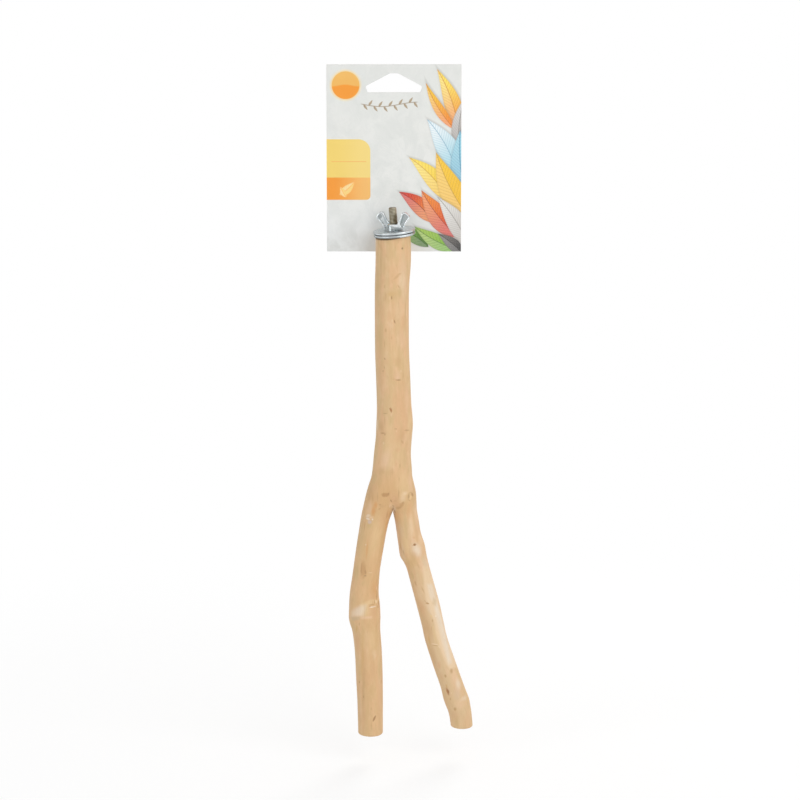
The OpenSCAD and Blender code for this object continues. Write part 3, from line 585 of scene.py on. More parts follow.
# Wide soft patches where the wood is paler, redder or greener: the same, without softness and relief; some
# pale ones are painted light
BROAD = [
    (390, 500, 26, 22, GOLD, 0.75), (374, 560, 16, 70, GOLD, 0.5, 8), (370, 680, 16, 70, GOLD, 0.35, 2),
    # the BUFF, MILK and CREAM patches down the right limb on this line and the next three are its paler wood
    # together with painted highlight on its lit right side
    (404, 540, 10, 40, GOLD, 0.25, -6), (424, 610, 12, 50, BUFF, 0.6, -15),
    (448, 680, 14, 46, BUFF, 0.65, -17), (462, 718, 12, 16, BUFF, 0.5, -8),
    (438, 664, 4.5, 34, BUFF, 0.6, -18), (431, 607, 4, 9, MILK, 0.5, -15),
    (420, 596, 3.5, 14, CREAM, 0.3, -16), (437, 661, 3.5, 16, CREAM, 0.35, -15),
    (379.5, 680, 2.2, 45, CREAM, 0.35, 1), (408, 532, 8, 16, CREAM, 0.3, -6),
    # the MILK patches at 393.8, 511.5, at 397.7, 529.5 and at 400.5, 548 lighten the shade in the fork and
    # down the right limb's inner side: painted light
    (403.5, 278, 4, 24, MILK, 0.22), (393.8, 511.5, 2.2, 6, MILK, 0.55),
    (397.7, 529.5, 2.75, 11, MILK, 0.45, -8), (400.5, 548, 2.75, 12, MILK, 0.4, -12),
    (426, 563.7, 3, 8, MILK, 0.45, -15), (375, 241, 2.75, 9.5, MILK, 0.45),
    (380.5, 247, 2, 5, TAN, 0.5, -30), (394.5, 251, 2, 6, OLIVE, 0.45), (403.3, 245.5, 1.5, 5, OLIVE, 0.45),
    (402, 281, 4, 7, CREAM, 0.45), (399.6, 292, 2.4, 5, OLIVE, 0.7), (392, 293.8, 5, 2.4, OCHRE, 0.35),
    (378.5, 285, 2.4, 30, OLIVE, 0.45), (398, 312, 4, 12, PINK, 0.35), (390.5, 325, 3, 4, CREAM, 0.35),
    (381, 338, 3, 16, OLIVE, 0.75), (401, 338, 5, 10, PINK, 0.4), (404.5, 322, 2, 9, ROSE, 0.45),
    (386.5, 362, 2.4, 3, ROSE, 0.4), (397.5, 359.5, 2.8, 5, TAN, 0.5), (397.5, 364.7, 2.5, 2.5, OLIVE, 0.4),
    (380.5, 372, 3, 16, ROSE, 0.35), (397.6, 377, 2.2, 2, PINK, 0.8), (395, 383, 2.4, 3, OLIVE, 0.55),
    (402.5, 383, 3, 3, ROSE, 0.45), (402, 407, 8, 26, ROSE, 0.55), (407, 398, 2, 14, PINK, 0.45),
    (392, 352, 5, 10, HONEY, 0.35), (391, 420.5, 2.4, 5, OLIVE, 0.5), (387, 419, 1.8, 4, PINK, 0.4),
    (381, 427, 2.6, 7, BROWN, 0.35), (388.6, 437, 4, 22, HONEY, 0.6), (409.2, 425, 1.6, 13, HONEY, 0.6, 4),
    (402, 436, 3, 9, BROWN, 0.3), (397.6, 437, 2.2, 7, ROSE, 0.6), (398, 450, 3, 2.8, ROSE, 0.55),
    (386, 460, 5, 8.5, PINK, 0.85, 8), (391.5, 462, 2.5, 6, HONEY, 0.6, 12), (381, 471.5, 4, 4, TAN, 0.5),
    (391, 472.5, 2.4, 3.5, TAN, 0.45), (403, 484, 6, 15, HONEY, 0.55), (410.6, 484, 2, 10, PINK, 0.6, -8),
    (394, 499, 5, 7, ROSE, 0.7), (373.5, 480, 2, 7, OLIVE, 0.5, 15), (374, 487, 2, 4, ROSE, 0.5, 15),
    (370, 494, 4, 7, TAN, 0.5, 18), (405.5, 493.3, 2.6, 2, CREAM, 0.8), (402.5, 497.5, 3, 5, CREAM, 0.55),
    (397, 505, 3, 3.5, ROSE, 0.55), (391, 505, 1.8, 2.6, PINK, 0.45), (369.4, 508, 2.4, 7, PINK, 0.7, 10),
    (382.5, 506.5, 2, 3, TAN, 0.6, 110), (369.5, 526, 3, 3, OLIVE, 0.8),
    (361.5, 541, 2.2, 22, OLIVE, 0.35, 8), (376, 536, 6, 22, HONEY, 0.55, 8),
    (382, 520, 4, 8, ROSE, 0.35, 12), (405.6, 528, 2.2, 15, OLIVE, 0.6, -4),
    (406.6, 545, 2.2, 10, HONEY, 0.6, -6), (411, 524, 2, 13, CREAM, 0.55, -4),
    (399, 530, 1.5, 16, TAN, 0.45, -8), (409.5, 512, 2.6, 8, ORANGE, 0.25),
    (416, 514, 1.8, 16, PINK, 0.7, -8), (417.2, 528, 1.4, 8, ROSE, 0.5, -6),
    (417.2, 549.5, 4.6, 6.8, MILK, 0.9, -28), (420.5, 540, 2.4, 8, CREAM, 0.4, -8),
    (413, 541.5, 2, 4, PINK, 0.8, -15), (414, 557, 6, 3, TAN, 0.45, 80), (412, 563, 5, 6, OCHRE, 0.35),
    (406, 555, 1.8, 2.5, ROSE, 0.6), (422, 567, 2, 9, PINK, 0.8, -10), (415, 572, 1.5, 5, ROSE, 0.45, -15),
    (422, 608, 3, 9, ROSE, 0.65, -15), (428.5, 629, 3, 12, TAN, 0.45, -13),
    (436.3, 635, 3, 8, HONEY, 0.7, -10), (452.2, 655, 2, 11, PINK, 0.7, -18),
    (434, 656, 3, 11, TAN, 0.4, -15), (438.8, 665, 2, 4, ROSE, 0.6), (447, 671, 2, 5, PINK, 0.6, -10),
    (442, 677, 2, 4, ROSE, 0.45, -15), (455.3, 680, 3.4, 13, PINK, 0.8, -16),
    (458.3, 684.5, 2.4, 5.4, MILK, 0.75, -8), (457, 695, 3.5, 6, LILAC, 0.25, -10),
    (463.5, 699, 2, 4.5, MILK, 0.5, 60), (460, 705, 5, 5, PINK, 0.6), (456, 716, 4, 5, ROSE, 0.4),
    (457, 723, 2, 6, OLIVE, 0.5), (466, 721, 4, 8, ROSE, 0.4), (356.8, 573, 2.6, 7, OLIVE, 0.85, 5),
    (363, 583, 2.6, 3, OLIVE, 0.5), (375.6, 590, 3, 10, ORANGE, 0.4, -3),
    (372.5, 597.5, 3.4, 5, ROSE, 0.55), (371, 602.6, 2.4, 2.2, HONEY, 0.6),
    (367.6, 612, 2.4, 4.6, HONEY, 0.5), (374, 613, 3.6, 5, ROSE, 0.55),
    (357.6, 642, 2.2, 10, ROSE, 0.75, 2), (362.4, 656, 1.4, 25, OCHRE, 0.55, 1),
    (363.4, 690, 1.5, 20, BROWN, 0.35, 2), (364, 715, 1.6, 18, ROSE, 0.5, 1),
    (360.4, 708, 1.5, 9, PINK, 0.45), (374, 670, 3, 10, ROSE, 0.6), (366, 677, 3.6, 4, ROSE, 0.4),
    (377, 700, 1.6, 34, ORANGE, 0.2), (380.6, 700, 1.8, 30, ROSE, 0.55), (379.6, 668, 1.5, 12, OLIVE, 0.6),
    (372, 641, 4, 14, HONEY, 0.55), (374, 655, 2, 5, CREAM, 0.4),
]
# Scars with an outline of their own, and painted shade and highlight: (colour, strength, edge softness,
# relief in mm, outline as (x, y))
SCARS_AND_LIGHT = [
    (OLIVE, 0.32, 2.2, 0, [(350, 596), (356, 596), (359, 603), (353, 609), (350, 611)]),
    (HONEY, 0.85, 1.6, 0, [(360, 604.5), (371, 599.5), (378.5, 599.5), (377, 603.5), (368, 604.5),
        (366.5, 616), (363, 616)]),
    (MILK, 0.62, 2.75, -0.22, [(351.8, 611.5), (355.8, 608), (360.5, 605.5), (366, 605), (365.5, 609.5),
        (364, 613.5), (363, 616.2), (351.6, 616.2)]),
    (SCAR_AND_HIGHLIGHT, 0.22, 1.6, 0, [(356, 609.5), (362, 606.5), (364, 608), (362.5, 613), (360.5, 615.8),
        (356, 615.8)]),
    (PINK, 0.8, 1, 0.1, [(360.3, 616.6), (372, 616.2), (372.3, 618.4), (361, 619.2)]),
    # the ledge's shaded side below the scar: painted shade
    (LEDGE_SHADE, 0.7, 1, 0, [(350.8, 616.8), (360, 616.8), (359.6, 619.8), (352.4, 620.6)]),
    # three strips down the right limb's lit right side: painted highlight
    (CREAM, 0.85, 1.7, 0, [(423, 566), (424, 585), (426, 599), (429.5, 606), (431, 613), (434, 622),
        (436, 634), (438.5, 645), (442, 654), (446, 664), (450, 669), (456, 667), (452, 650), (447, 634),
        (442, 614), (438, 598), (433, 580), (428.5, 566)]),
    (MILK, 0.8, 1.5, 0, [(427, 584), (430, 598), (433.5, 603), (435, 612), (437, 622), (440, 634),
        (442.5, 645), (445.5, 655), (448.5, 665), (452, 663), (450, 652), (446, 638), (442, 622),
        (439, 610), (436, 598), (432, 584)]),
    (SCAR_AND_HIGHLIGHT, 0.45, 1.2, 0, [(437, 604), (435, 609), (440, 622), (443, 634), (446, 650), (448, 662),
        (450, 660), (448, 648), (445, 634), (441, 616)]),
    (OLIVE, 0.45, 1.2, 0, [(433, 597), (436, 600), (436, 606), (432.5, 604)]),
]
# The sides and back, which the photo hides, carry marks of the same kinds: (place, degrees round, kind)
SIDE_MARKS = {
    0: (
        (0.10, 60, "speck"), (0.22, 120, "knot"), (0.31, 20, "streak"), (0.45, 80, "pale"),
        (0.55, 160, "streak"), (0.62, 40, "speck"), (0.73, 100, "knot"), (0.80, 10, "pale"),
        (0.88, 75, "streak"), (0.36, 190, "speck"), (0.68, 200, "pale"),
    ),
    -1: (
        (0.12, 110, "speck"), (0.28, 80, "knot"), (0.40, 140, "pale"), (0.55, 190, "streak"),
        (0.66, 60, "speck"), (0.80, 100, "streak"), (0.92, 150, "knot"),
    ),
    1: (
        (0.10, 100, "streak"), (0.24, 70, "pale"), (0.38, 120, "speck"), (0.52, 20, "knot"),
        (0.70, 90, "streak"), (0.85, 60, "pale"), (0.93, 130, "speck"),
    ),
}
# Degrees that the trunk's and limbs' own marks lean to the right, and the peeling knife's facets' height
PART_LEANS, FACET = {0: 0, -1: 5, 1: -16}, 0.05
# (half width, half length, colour, strength, softness, relief), in mm
KINDS = {
    "speck": (0.8, 1.6, UMBER, 0.65, 0.8, -0.2),
    "streak": (1.4, 8.0, ORANGE, 0.45, 1.0, 0),
    "pale": (3.2, 6.0, CREAM, 0.7, 0.9, -0.15),
    "collar": (2.5, 4.1, BROWN, 0.45, 1.0, 0.3),
    "heart": (1.4, 2.2, HONEY, 0.65, 0.9, -0.1),
}
# Cracks in a knot's heart: (tilt in radians, half width and half length in mm, colour)
CRACKS = ((0.5, 0.35, 1.5, DARK), (-0.7, 0.28, 1.0, UMBER), (1.4, 0.25, 1.1, UMBER))


def in_photo(spots):
    """Where places given in mm show in the photo, in pixels from its upper left corner."""
    x, y, z = (spots - np.array(CAMERA_PLACE) / MM).T
    down, level = math.sin(CAMERA_DOWN), math.cos(CAMERA_DOWN)
    depth = y * level - z * down
    return PHOTO_MID + FOCAL * x / depth, PHOTO_MID - FOCAL * (y * down + z * level) / depth


def on_stick(pixels):
    """The size on the stick of a length in the photo, to a tenth of a millimetre."""
    return round(pixels * PIXEL, 1)


seen_x, seen_y = in_photo(points)
# Skin that faces away from the viewer or is seen edge on
hidden = normals[:, 1] > -0.12


def front_mark(x, y, degrees, wide, long):
    """A mark that the photo shows at x and y, laid on the skin: its centre, direction and half sizes."""
    k = np.where(hidden, np.inf, (seen_x - x) ** 2 + (seen_y - y) ** 2).argmin()
    n = normals[k]
    # heights are foreshortened, because the view is from a little above
    a, b = math.sin(math.radians(degrees)), math.cos(math.radians(degrees)) / math.cos(CAMERA_DOWN)
    stretch = math.hypot(a, b)
    wide = on_stick(wide if abs(degrees) < 45 else wide / math.cos(CAMERA_DOWN))
    long = on_stick(long * stretch)
    a, b = a / stretch, b / stretch
    # for the same reason what runs back also rises
    back = -(n[0] * a + n[2] * b) / (n[1] - VIEW_SLOPE * n[2])
    way = Vector((a, back, b - VIEW_SLOPE * back))
    side = way.cross(Vector(n)).normalized()
    seen = max(0.5, math.hypot(side.x, side.z))
    return points[k], tuple(way.normalized()), wide / seen, long * min(2.0, way.length)


def fine_mark(x, y, wide, long, colour, strength, lean=0, soft=0.9, relief=0):
    return (*front_mark(x, y, lean, wide, long), colour, strength, soft, relief)


def side_mark(part, place, degrees, kind):
    """The marks of one place at the sides or back, which are several for a knot."""
    angle = np.array([math.radians(degrees)])
    ring = trunk_ring(place, angle) if part == 0 else limb_ring(part, place, angle)
    spot = ring[0][0]
    lean = math.radians(PART_LEANS[part])
    way = np.array((math.sin(lean), 0, math.cos(lean)))
    size = random.uniform(0.8, 1.25)

    def mark(at, run, wide, long, *look):
        return (tuple(at), tuple(run), wide * size, long * size, *look)

    if kind != "knot":
        return [mark(spot, way, *KINDS[kind])]
    # a swollen collar round a paler heart, which has cracked
    across = np.array((-math.sin(angle[0]), math.cos(angle[0]), 0))
    marks = [mark(spot, way, *KINDS["collar"]), mark(spot + 0.7 * way - 0.3 * across, way, *KINDS["heart"])]
    for tilt, *crack in CRACKS:
        run = way * math.cos(tilt) + across * math.sin(tilt)
        marks.append(mark(spot + 0.8 * way + 0.4 * run, run, *crack, 0.7, 0.9, -0.2))
    return marks


def away(points, spot, way, wide, long):
    """Distance from a mark's centre, which is 1 at its edge."""
    d = points - np.array(spot)
    run = d @ np.array(way)
    return np.sqrt(np.maximum((d * d).sum(1) - run * run, 0) / wide**2 + (run / long) ** 2)


def broad_cover(x, y, wide, long, colour, strength, lean=0):
    """How much of a wide patch lies at each point, and its colour."""
    gone = away(drift, *front_mark(x, y, lean, wide, long))
    return strength * smooth_step((1.6 - gone) / 1.5), colour


def stain_and_light(cover, colour):
    """Lays a colour over the tint that the mesh stores: the wood's own patches and scars, and painted
    highlight and shade.
    """
    tint[:] += cover[:, None] * (np.array(colour) - tint)


def inside(outline, soft):
    """1 inside an outline in the photo, 0 outside it, soft at its edge."""
    gap, within = np.full(len(points), 1e9), np.zeros(len(points), bool)
    for (ax, ay), (bx, by) in zip(outline, outline[1:] + outline[:1]):
        x, y, dx, dy = seen_x - ax, seen_y - ay, bx - ax, by - ay
        run = np.clip((x * dx + y * dy) / (dx**2 + dy**2), 0, 1)
        gap = np.minimum(gap, np.hypot(x - run * dx, y - run * dy))
        within ^= ((y < 0) != (y < dy)) & (x < y * dx / (dy + 1e-9))
    return smooth_step(0.5 + np.where(within, gap, -gap) / (2 * soft)) * (normals[:, 1] < 0.1)


marks = [fine_mark(*row) for row in FINE]
for part, rows in SIDE_MARKS.items():
    for row in rows:
        marks += side_mark(part, *row)

drift = points + 0.7 * np.array([noise.noise_vector(Vector(p) * 0.3) for p in points])
tint, lift = np.zeros((len(points), 4)), np.zeros(len(points))
for row in BROAD:
    stain_and_light(*broad_cover(*row))
for colour, strength, soft, relief, outline in SCARS_AND_LIGHT:
    cover = inside(outline, soft)
    stain_and_light(strength * cover, colour)
    lift += relief * cover
point_layer(mesh, "grain", "FLOAT_VECTOR", "vector", grain)
point_layer(mesh, "tint", "FLOAT_COLOR", "color", tint)

# Low relief: knots stand out, scars and the small steps of cut twigs sink in
for spot, way, wide, long, colour, strength, soft, relief in marks:
    if relief:
        lift += relief * np.exp(-away(points, spot, way, wide, long) ** 2)
# Faint facets left by the peeling knife, lengthwise
gx, gy, gz = grain.T
facets = FACET * np.sin(gx * 0.9 + np.sin(gz * 0.05) * 2) * np.sin(gy * 0.8 + gz * 0.03)
fade = np.clip((points[:, 2] + STICK_L - 4) / 6, 0, 1) * np.clip(-points[:, 2] / 6, 0, 1)
points = points + normals * ((lift + facets) * fade)[:, None]
mesh.vertices.foreach_set("co", (points * MM).astype(np.float32).ravel())

is_end = np.zeros(len(mesh.polygons), np.int32)
for first, after in ends:
    is_end[first:after] = 1
mesh.polygons.foreach_set("material_index", is_end)
mesh.polygons.foreach_set("use_smooth", is_end == 0)

# The top is sawn square to the bolt
bolt_axis = Vector((-math.sin(BOLT_LEAN), 0, math.cos(BOLT_LEAN)))
with opened(mesh) as bm:
    everything = bm.verts[:] + bm.edges[:] + bm.faces[:]
    bmesh.ops.bisect_plane(bm, geom=everything, plane_co=(0, 0, 0), plane_no=bolt_axis, clear_outer=True)
    sawn = bmesh.ops.contextual_create(bm, geom=[e for e in bm.edges if e.is_boundary])["faces"]
    for f in sawn:
        f.material_index = 1
        f.smooth = False
    bmesh.ops.triangulate(bm, faces=sawn)
    bmesh.ops.recalc_face_normals(bm, faces=bm.faces)
mesh.update()
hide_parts("branch")
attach(stick, "root")

# Wood


def mark_group():
    """A soft-edged oval mark round a point, as a mask."""
    group, net, given, result = node_group(
        "wood_mark", "Float", P="Vector", Ragged="Float", Centre="Vector", Way="Vector",
        Wide="Float", Long="Float", Soft="Float", Strength="Float",
    )
    out = net.vec("SUBTRACT", given["P"], given["Centre"])
    run = net.vec("DOT_PRODUCT", out, given["Way"])
    run2 = run * run
    side2 = net.most(net.vec("DOT_PRODUCT", out, out) - run2, 0.0)
    gone = net.root(side2 / (given["Wide"] * given["Wide"]) + run2 / (given["Long"] * given["Long"]))
    mask = net.step(gone + given["Ragged"], 1.15 - given["Soft"], 1.25, 1.0, 0.0)
    net.put(result, mask * given["Strength"])
    return group


def wood_material():
    mat, net, shader = material("peeled_wood", Specular_IOR_Level=0.32)
    place = net.place()
    flow = net.layer("grain", "Vector")
    # the flow is bent a little, so that no grain line is ruler straight
    bend = net.vec("SUBTRACT", net.noise(flow, (0.03, 0.03, 0.012), 1.0, output="Color"), (0.5, 0.5, 0.5))
    flow = net.vec("ADD", flow, net.vec("MULTIPLY", bend, (9, 9, 0)))
    hue = net.noise(flow, (0.18, 0.18, 0.06))
    bands = net.noise(flow, (0.30, 0.30, 0.012))
    patches = net.noise(flow, (0.26, 0.26, 0.10), 3.0, 0.55)
    streaks = net.noise(flow, (0.9, 0.9, 0.035), 3.0, 0.6)
    fibres = net.noise(flow, (3.4, 3.4, 0.10), 3.0, 0.6)
    pores = net.noise(flow, (2.2, 2.2, 0.42), 1.0)
    flecks = net.noise(flow, (0.7, 0.7, 0.18))
    tone = net.tinge(
        net.mix(net.step(hue, 0.38, 0.62), srgb(217, 184, 138), srgb(223, 184, 141)),
        (bands, 0.50, 0.68, 0.30, srgb(230, 197, 154)),
        (bands, 0.48, 0.32, 0.24, srgb(206, 168, 122)),
        (patches, 0.52, 0.68, 0.24, srgb(234, 203, 165)),
        (patches, 0.48, 0.32, 0.22, srgb(204, 165, 118)),
    )
    # the broad patches and scars, which the mesh stores, with the painted highlight and shade among them
    bare = 1.0 - net.layer("tint", "Alpha")
    tone = net.vec("ADD", net.vec("MULTIPLY", tone, net.join(bare, bare, bare)), net.layer("tint", "Color"))
    tone = net.tinge(
        tone,
        (streaks, 0.58, 0.74, 0.16, srgb(190, 148, 104)),
        (streaks, 0.42, 0.26, 0.14, srgb(240, 212, 178)),
        (flecks, 0.64, 0.74, 0.16, srgb(186, 142, 98)),
        (fibres, 0.35, 0.75, 0.10, srgb(176, 134, 92)),
        (pores, 0.70, 0.80, 0.14, srgb(158, 118, 78)),
    )
    ragged = (net.noise(place, (0.8, 0.8, 0.45), 3.0, 0.65) - 0.5) * 0.8
    height = streaks * 0.5 + fibres * 0.35
    group = mark_group()
    for spot, way, wide, long, colour, strength, soft, relief in marks:
        given = {"P": place, "Ragged": ragged, "Centre": spot, "Way": way, "Wide": wide, "Long": long,
                 "Soft": soft, "Strength": strength}
        mask = net.get("ShaderNodeGroup", 0, given, node_tree=group)
        tone = net.mix(mask, tone, colour)
        # the deepest marks have a sharp pit too
        if relief < -0.12:
            height = height - mask * 0.5
    # painted shadow of the washers along the sawn edge, reaching further down on the left
    x, _, z = net.xyz(place)
    below = x * math.tan(BOLT_LEAN) - z
    edge = below - net.step(x, 5, -8, 0.0, 0.7) + ragged * 0.6
    tone = net.tinge(tone, (edge, 1.35, 0.45, 0.9, srgb(84, 66, 46)))
    rough = net.step(fibres, 0.2, 0.8, 0.52, 0.68)
    net.feed(shader, Base_Color=tone, Roughness=rough, Normal=net.bump(height, 0.00022, 0.55))
    return mat


def end_grain_material():
    mat, net, shader = material("sawn_end", Roughness=0.8, Specular_IOR_Level=0.2)
    flow = net.layer("grain", "Vector")
    flat = net.vec("MULTIPLY", flow, (1, 1, 0))
    r = net.vec("LENGTH", flat)
    years = net.sine((r + net.noise(flat, (0.25, 0.25, 1)) * 2.2) * 5.2)
    grit = net.noise(flow, (4, 4, 4), 3.0, 0.7)
    saw = net.noise(flow, (0.6, 5.0, 1))
    tone = net.tinge(
        net.mix(net.step(years, -0.2, 1.0), srgb(232, 206, 166), srgb(206, 166, 118)),
        (r, 1.2, 0.3, 0.75, srgb(140, 98, 62)),
        (grit, 0.4, 0.75, 0.3, srgb(176, 134, 90)),
    )
    net.feed(shader, Base_Color=tone, Normal=net.bump(saw * 0.6 + grit * 0.4, 0.0003, 0.6))
    return mat


mesh.materials.append(wood_material())
mesh.materials.append(end_grain_material())

# Metal, in mm along the bolt's axis

LEAN = Matrix.Rotation(-BOLT_LEAN, 4, "Y")
# Radii, lengths and heights of the washers, the bolt and the nut, and how finely they are drawn
WASHER_HOLE, WASHER_R, WASHER_T, WASHER_SIDES, OUTER_WASHER_Z = 3.2, 15.0, 1.6, 176, 2.2
STUD_R, STUD_L, PITCH, THREAD, THREAD_STARTS, CHAMFER = 2.95, 20, 1.0, 0.48, 0.3, 0.7
SHANK_R, SHANK_L, SCREW_L, SCREW_PITCH, SCREW_THREAD, POINT_L = 2.62, 5, 30, 2.4, 0.75, 6
BOLT_SIDES, SCREW_ROWS, SHANK_ROWS, STUD_ROWS, SHANK_FROM = 72, 190, 20, 400, -6
NUT_Z, WING_T, WING_FACE, WING_TURN = 3.8, 2.4, 6.25, math.radians(6)
NUT_GRID, NUT_ROUNDS = 0.16, 7


def zinc_material(name, bright, dull, rough, fine_scale, bump_depth):
    mat, net, shader = material(name, Metallic=1.0)
    place = net.place()
    cloud = net.noise(place, (0.35, 0.35, 0.35), 3.0, 0.6)
    blue = net.noise(place, (0.16, 0.16, 0.3), 1.0)
    fine = net.noise(place, (fine_scale,) * 3, 3.0, 0.65)
    tone = net.tinge(
        net.mix(net.step(cloud, 0.36, 0.66), bright, dull),
        (blue, 0.5, 0.72, 0.5, srgb(196, 212, 214)),
        (fine, 0.60, 0.82, 0.45, srgb(128, 138, 144)),
    )
    # the value that the mesh stores darkens and dulls the zinc: painted shade below the washers and in the
    # nut's hollows and crevices, painted dark reflection on the nut's hub, in part dull zinc
    grime_and_shade = net.layer("grime_and_shade") * net.step(cloud, 0.2, 0.7, 1.0, 0.7)
    tone = net.mix(grime_and_shade, tone, srgb(92, 106, 106))
    dulled = net.step(cloud, 0.3, 0.7, rough, rough + 0.16) + grime_and_shade * 0.2
    relief = net.bump(fine * 0.5 + cloud * 0.5, bump_depth, 0.5)
    net.feed(shader, Base_Color=tone, Roughness=dulled, Normal=relief)
    return mat


def arc(cx, cz, r, start, end, steps):
    angles = [math.radians(start + (end - start) * j / steps) for j in range(steps + 1)]
    return [(cx + r * math.cos(a), cz + r * math.sin(a)) for a in angles]


def smooth(obj, degrees):
    """Smooth shading, except over edges that turn by more than this."""
    with opened(obj.data) as bm:
        bmesh.ops.recalc_face_normals(bm, faces=bm.faces)
        for f in bm.faces:
            f.smooth = True
        for e in bm.edges:
            e.smooth = e.calc_face_angle(0) < math.radians(degrees)


def on_axis(verts, z=0.0):
    """Points given in mm from the bolt's axis, put in the part's frame at height z."""
    return [LEAN @ (Vector((x, y, z + h)) * MM) for x, y, h in verts]


washer_zinc = zinc_material("washer_zinc", srgb(228, 233, 236), srgb(198, 205, 209), 0.24, 1.4, 0.00005)


def washer(name, z, node, body, foot):
    """Punched sheet, rolled over on the upper edge and nearly sharp below, with painted shade at its foot
    except on its right side, and slightly darker round its outer rim.
    """
    profile = (
        arc(WASHER_HOLE + 0.22, 0.22, 0.22, 180, 270, 3)
        + arc(WASHER_R - 0.28, 0.28, 0.28, -90, 0, 5)
        + arc(WASHER_R - 0.42, WASHER_T - 0.42, 0.42, 0, 90, 6)
        + arc(WASHER_HOLE + 0.3, WASHER_T - 0.3, 0.3, 90, 180, 4)
    )
    turns = [2 * math.pi * k / WASHER_SIDES for k in range(WASHER_SIDES)]
    verts = [(r * math.cos(a), r * math.sin(a), h) for a in turns for r, h in profile]
    rings = [list(range(start, start + len(profile))) for start in range(0, len(verts), len(profile))]
    faces = [face for ring, following in zip(rings, rings[1:] + rings[:1]) for face in band(ring, following)]
    obj = mesh_object(name, on_axis(verts, z), faces)
    obj.data.materials.append(washer_zinc)
    rim = (WASHER_R - 0.235) ** 2
    # painted shade at the foot, except on the right side, and a slightly darker outer rim
    grime_and_shade = [max(0.8 * foot * (h < 0.3) * (x < 4), 0.2 * (x * x + y * y > rim)) for x, y, h in verts]
    point_layer(obj.data, "grime_and_shade", "FLOAT", "value", grime_and_shade)
    smooth(obj, 60)
    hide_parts(node)
    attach(obj, body)


washer("inner_washer_plate", 0.0, "inner_washer", "root", 1.0)
washer("outer_washer_plate", OUTER_WASHER_Z, "outer_washer", "outer_washer", 0.3)


def thread(turns, depth, crest, flank):
    """How far a thread's outline lies under its crest at a number of turns."""
    return depth * min(1.0, max(0.0, (abs(turns % 1.0 - 0.5) * 2 - crest) / flank))


def bolt_radius(z, turn):
    if z > THREAD_STARTS:
        end = STUD_R - max(0.0, z - STUD_L + CHAMFER)
        return min(STUD_R - thread(z / PITCH - turn, THREAD, 0.30, 0.55), end)
    if z > -SHANK_L:
        return SHANK_R
    point = STUD_R * max(0.02, (z + SCREW_L) / POINT_L)
    return min(STUD_R - thread(z / SCREW_PITCH - turn, SCREW_THREAD, 0.06, 0.5), point)


def bolt_mesh():
    """Machine thread above the wood and wood-screw thread below, as one turned surface with a helix."""
    heights = [-SCREW_L + (SCREW_L + SHANK_FROM) * j / SCREW_ROWS for j in range(SCREW_ROWS)]
    heights += [SHANK_FROM - SHANK_FROM * j / SHANK_ROWS for j in range(SHANK_ROWS)]
    heights += [STUD_L * j / STUD_ROWS for j in range(STUD_ROWS + 1)]
    turns = [k / BOLT_SIDES for k in range(BOLT_SIDES)]
    verts = []
    for z in heights:
        for turn in turns:
            r, a = bolt_radius(z, turn), 2 * math.pi * turn
            verts.append((r * math.cos(a), r * math.sin(a), z))
    # the free end is cut off flat, with a slight dimple
    rim = verts[-len(turns):]
    for share, dip in ((0.7, 0.0), (0.45, 0.12), (0.2, 0.2)):
        verts += [(x * share, y * share, STUD_L - dip) for x, y, _ in rim]
    rings = [list(range(start, start + len(turns))) for start in range(0, len(verts), len(turns))]
    faces = [face for lower, upper in zip(rings, rings[1:]) for face in band(lower, upper)]
    return verts, [rings[0][::-1], *faces, rings[-1]]


def steel_material():
    mat, net, shader = material("stud_steel", Metallic=1.0)
    place = net.place()
    x, y, z = net.xyz(place)
    off_axis = x + z * math.tan(BOLT_LEAN)
    r = net.root(off_axis * off_axis + y * y)
    cloud = net.noise(place, (0.5, 0.5, 0.3), 3.0, 0.6)
    tone = net.mix(net.step(cloud, 0.35, 0.65), srgb(204, 198, 181), srgb(174, 166, 146))
    # painted shade: darker where the surface lies inside the thread's crests, in its valleys and on the shank
    tone = net.tinge(tone, (r, 2.86, 2.52, 0.85, srgb(112, 100, 78)))
    # painted shade on the stud below its top, and a painted highlight at its top; both fade at the left edge
    shaded_side = x + z * -0.13 + (cloud - 0.5) * 5.0
    tone = net.mix(net.step(shaded_side, -3.2, -1.0, 0.0, 0.6) * net.step(z, 16.5, 14.5), tone, srgb(104, 90, 62))
    top_highlight = net.step(z, 15.0, 16.5, 0.0, 0.3) * net.step(x, -2.4, -0.8)
    tone = net.mix(top_highlight, tone, srgb(214, 208, 192))
    fine = net.noise(place, (3, 3, 3))
    rough = net.step(cloud, 0.3, 0.7, 0.34, 0.5)
    net.feed(shader, Base_Color=tone, Roughness=rough, Normal=net.bump(fine, 0.00004, 0.5))
    return mat


verts, faces = bolt_mesh()
bolt = mesh_object("threaded_bolt", on_axis(verts), faces)
bolt.data.materials.append(steel_material())
smooth(bolt, 55)
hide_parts("hanger_bolt")
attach(bolt, "root")


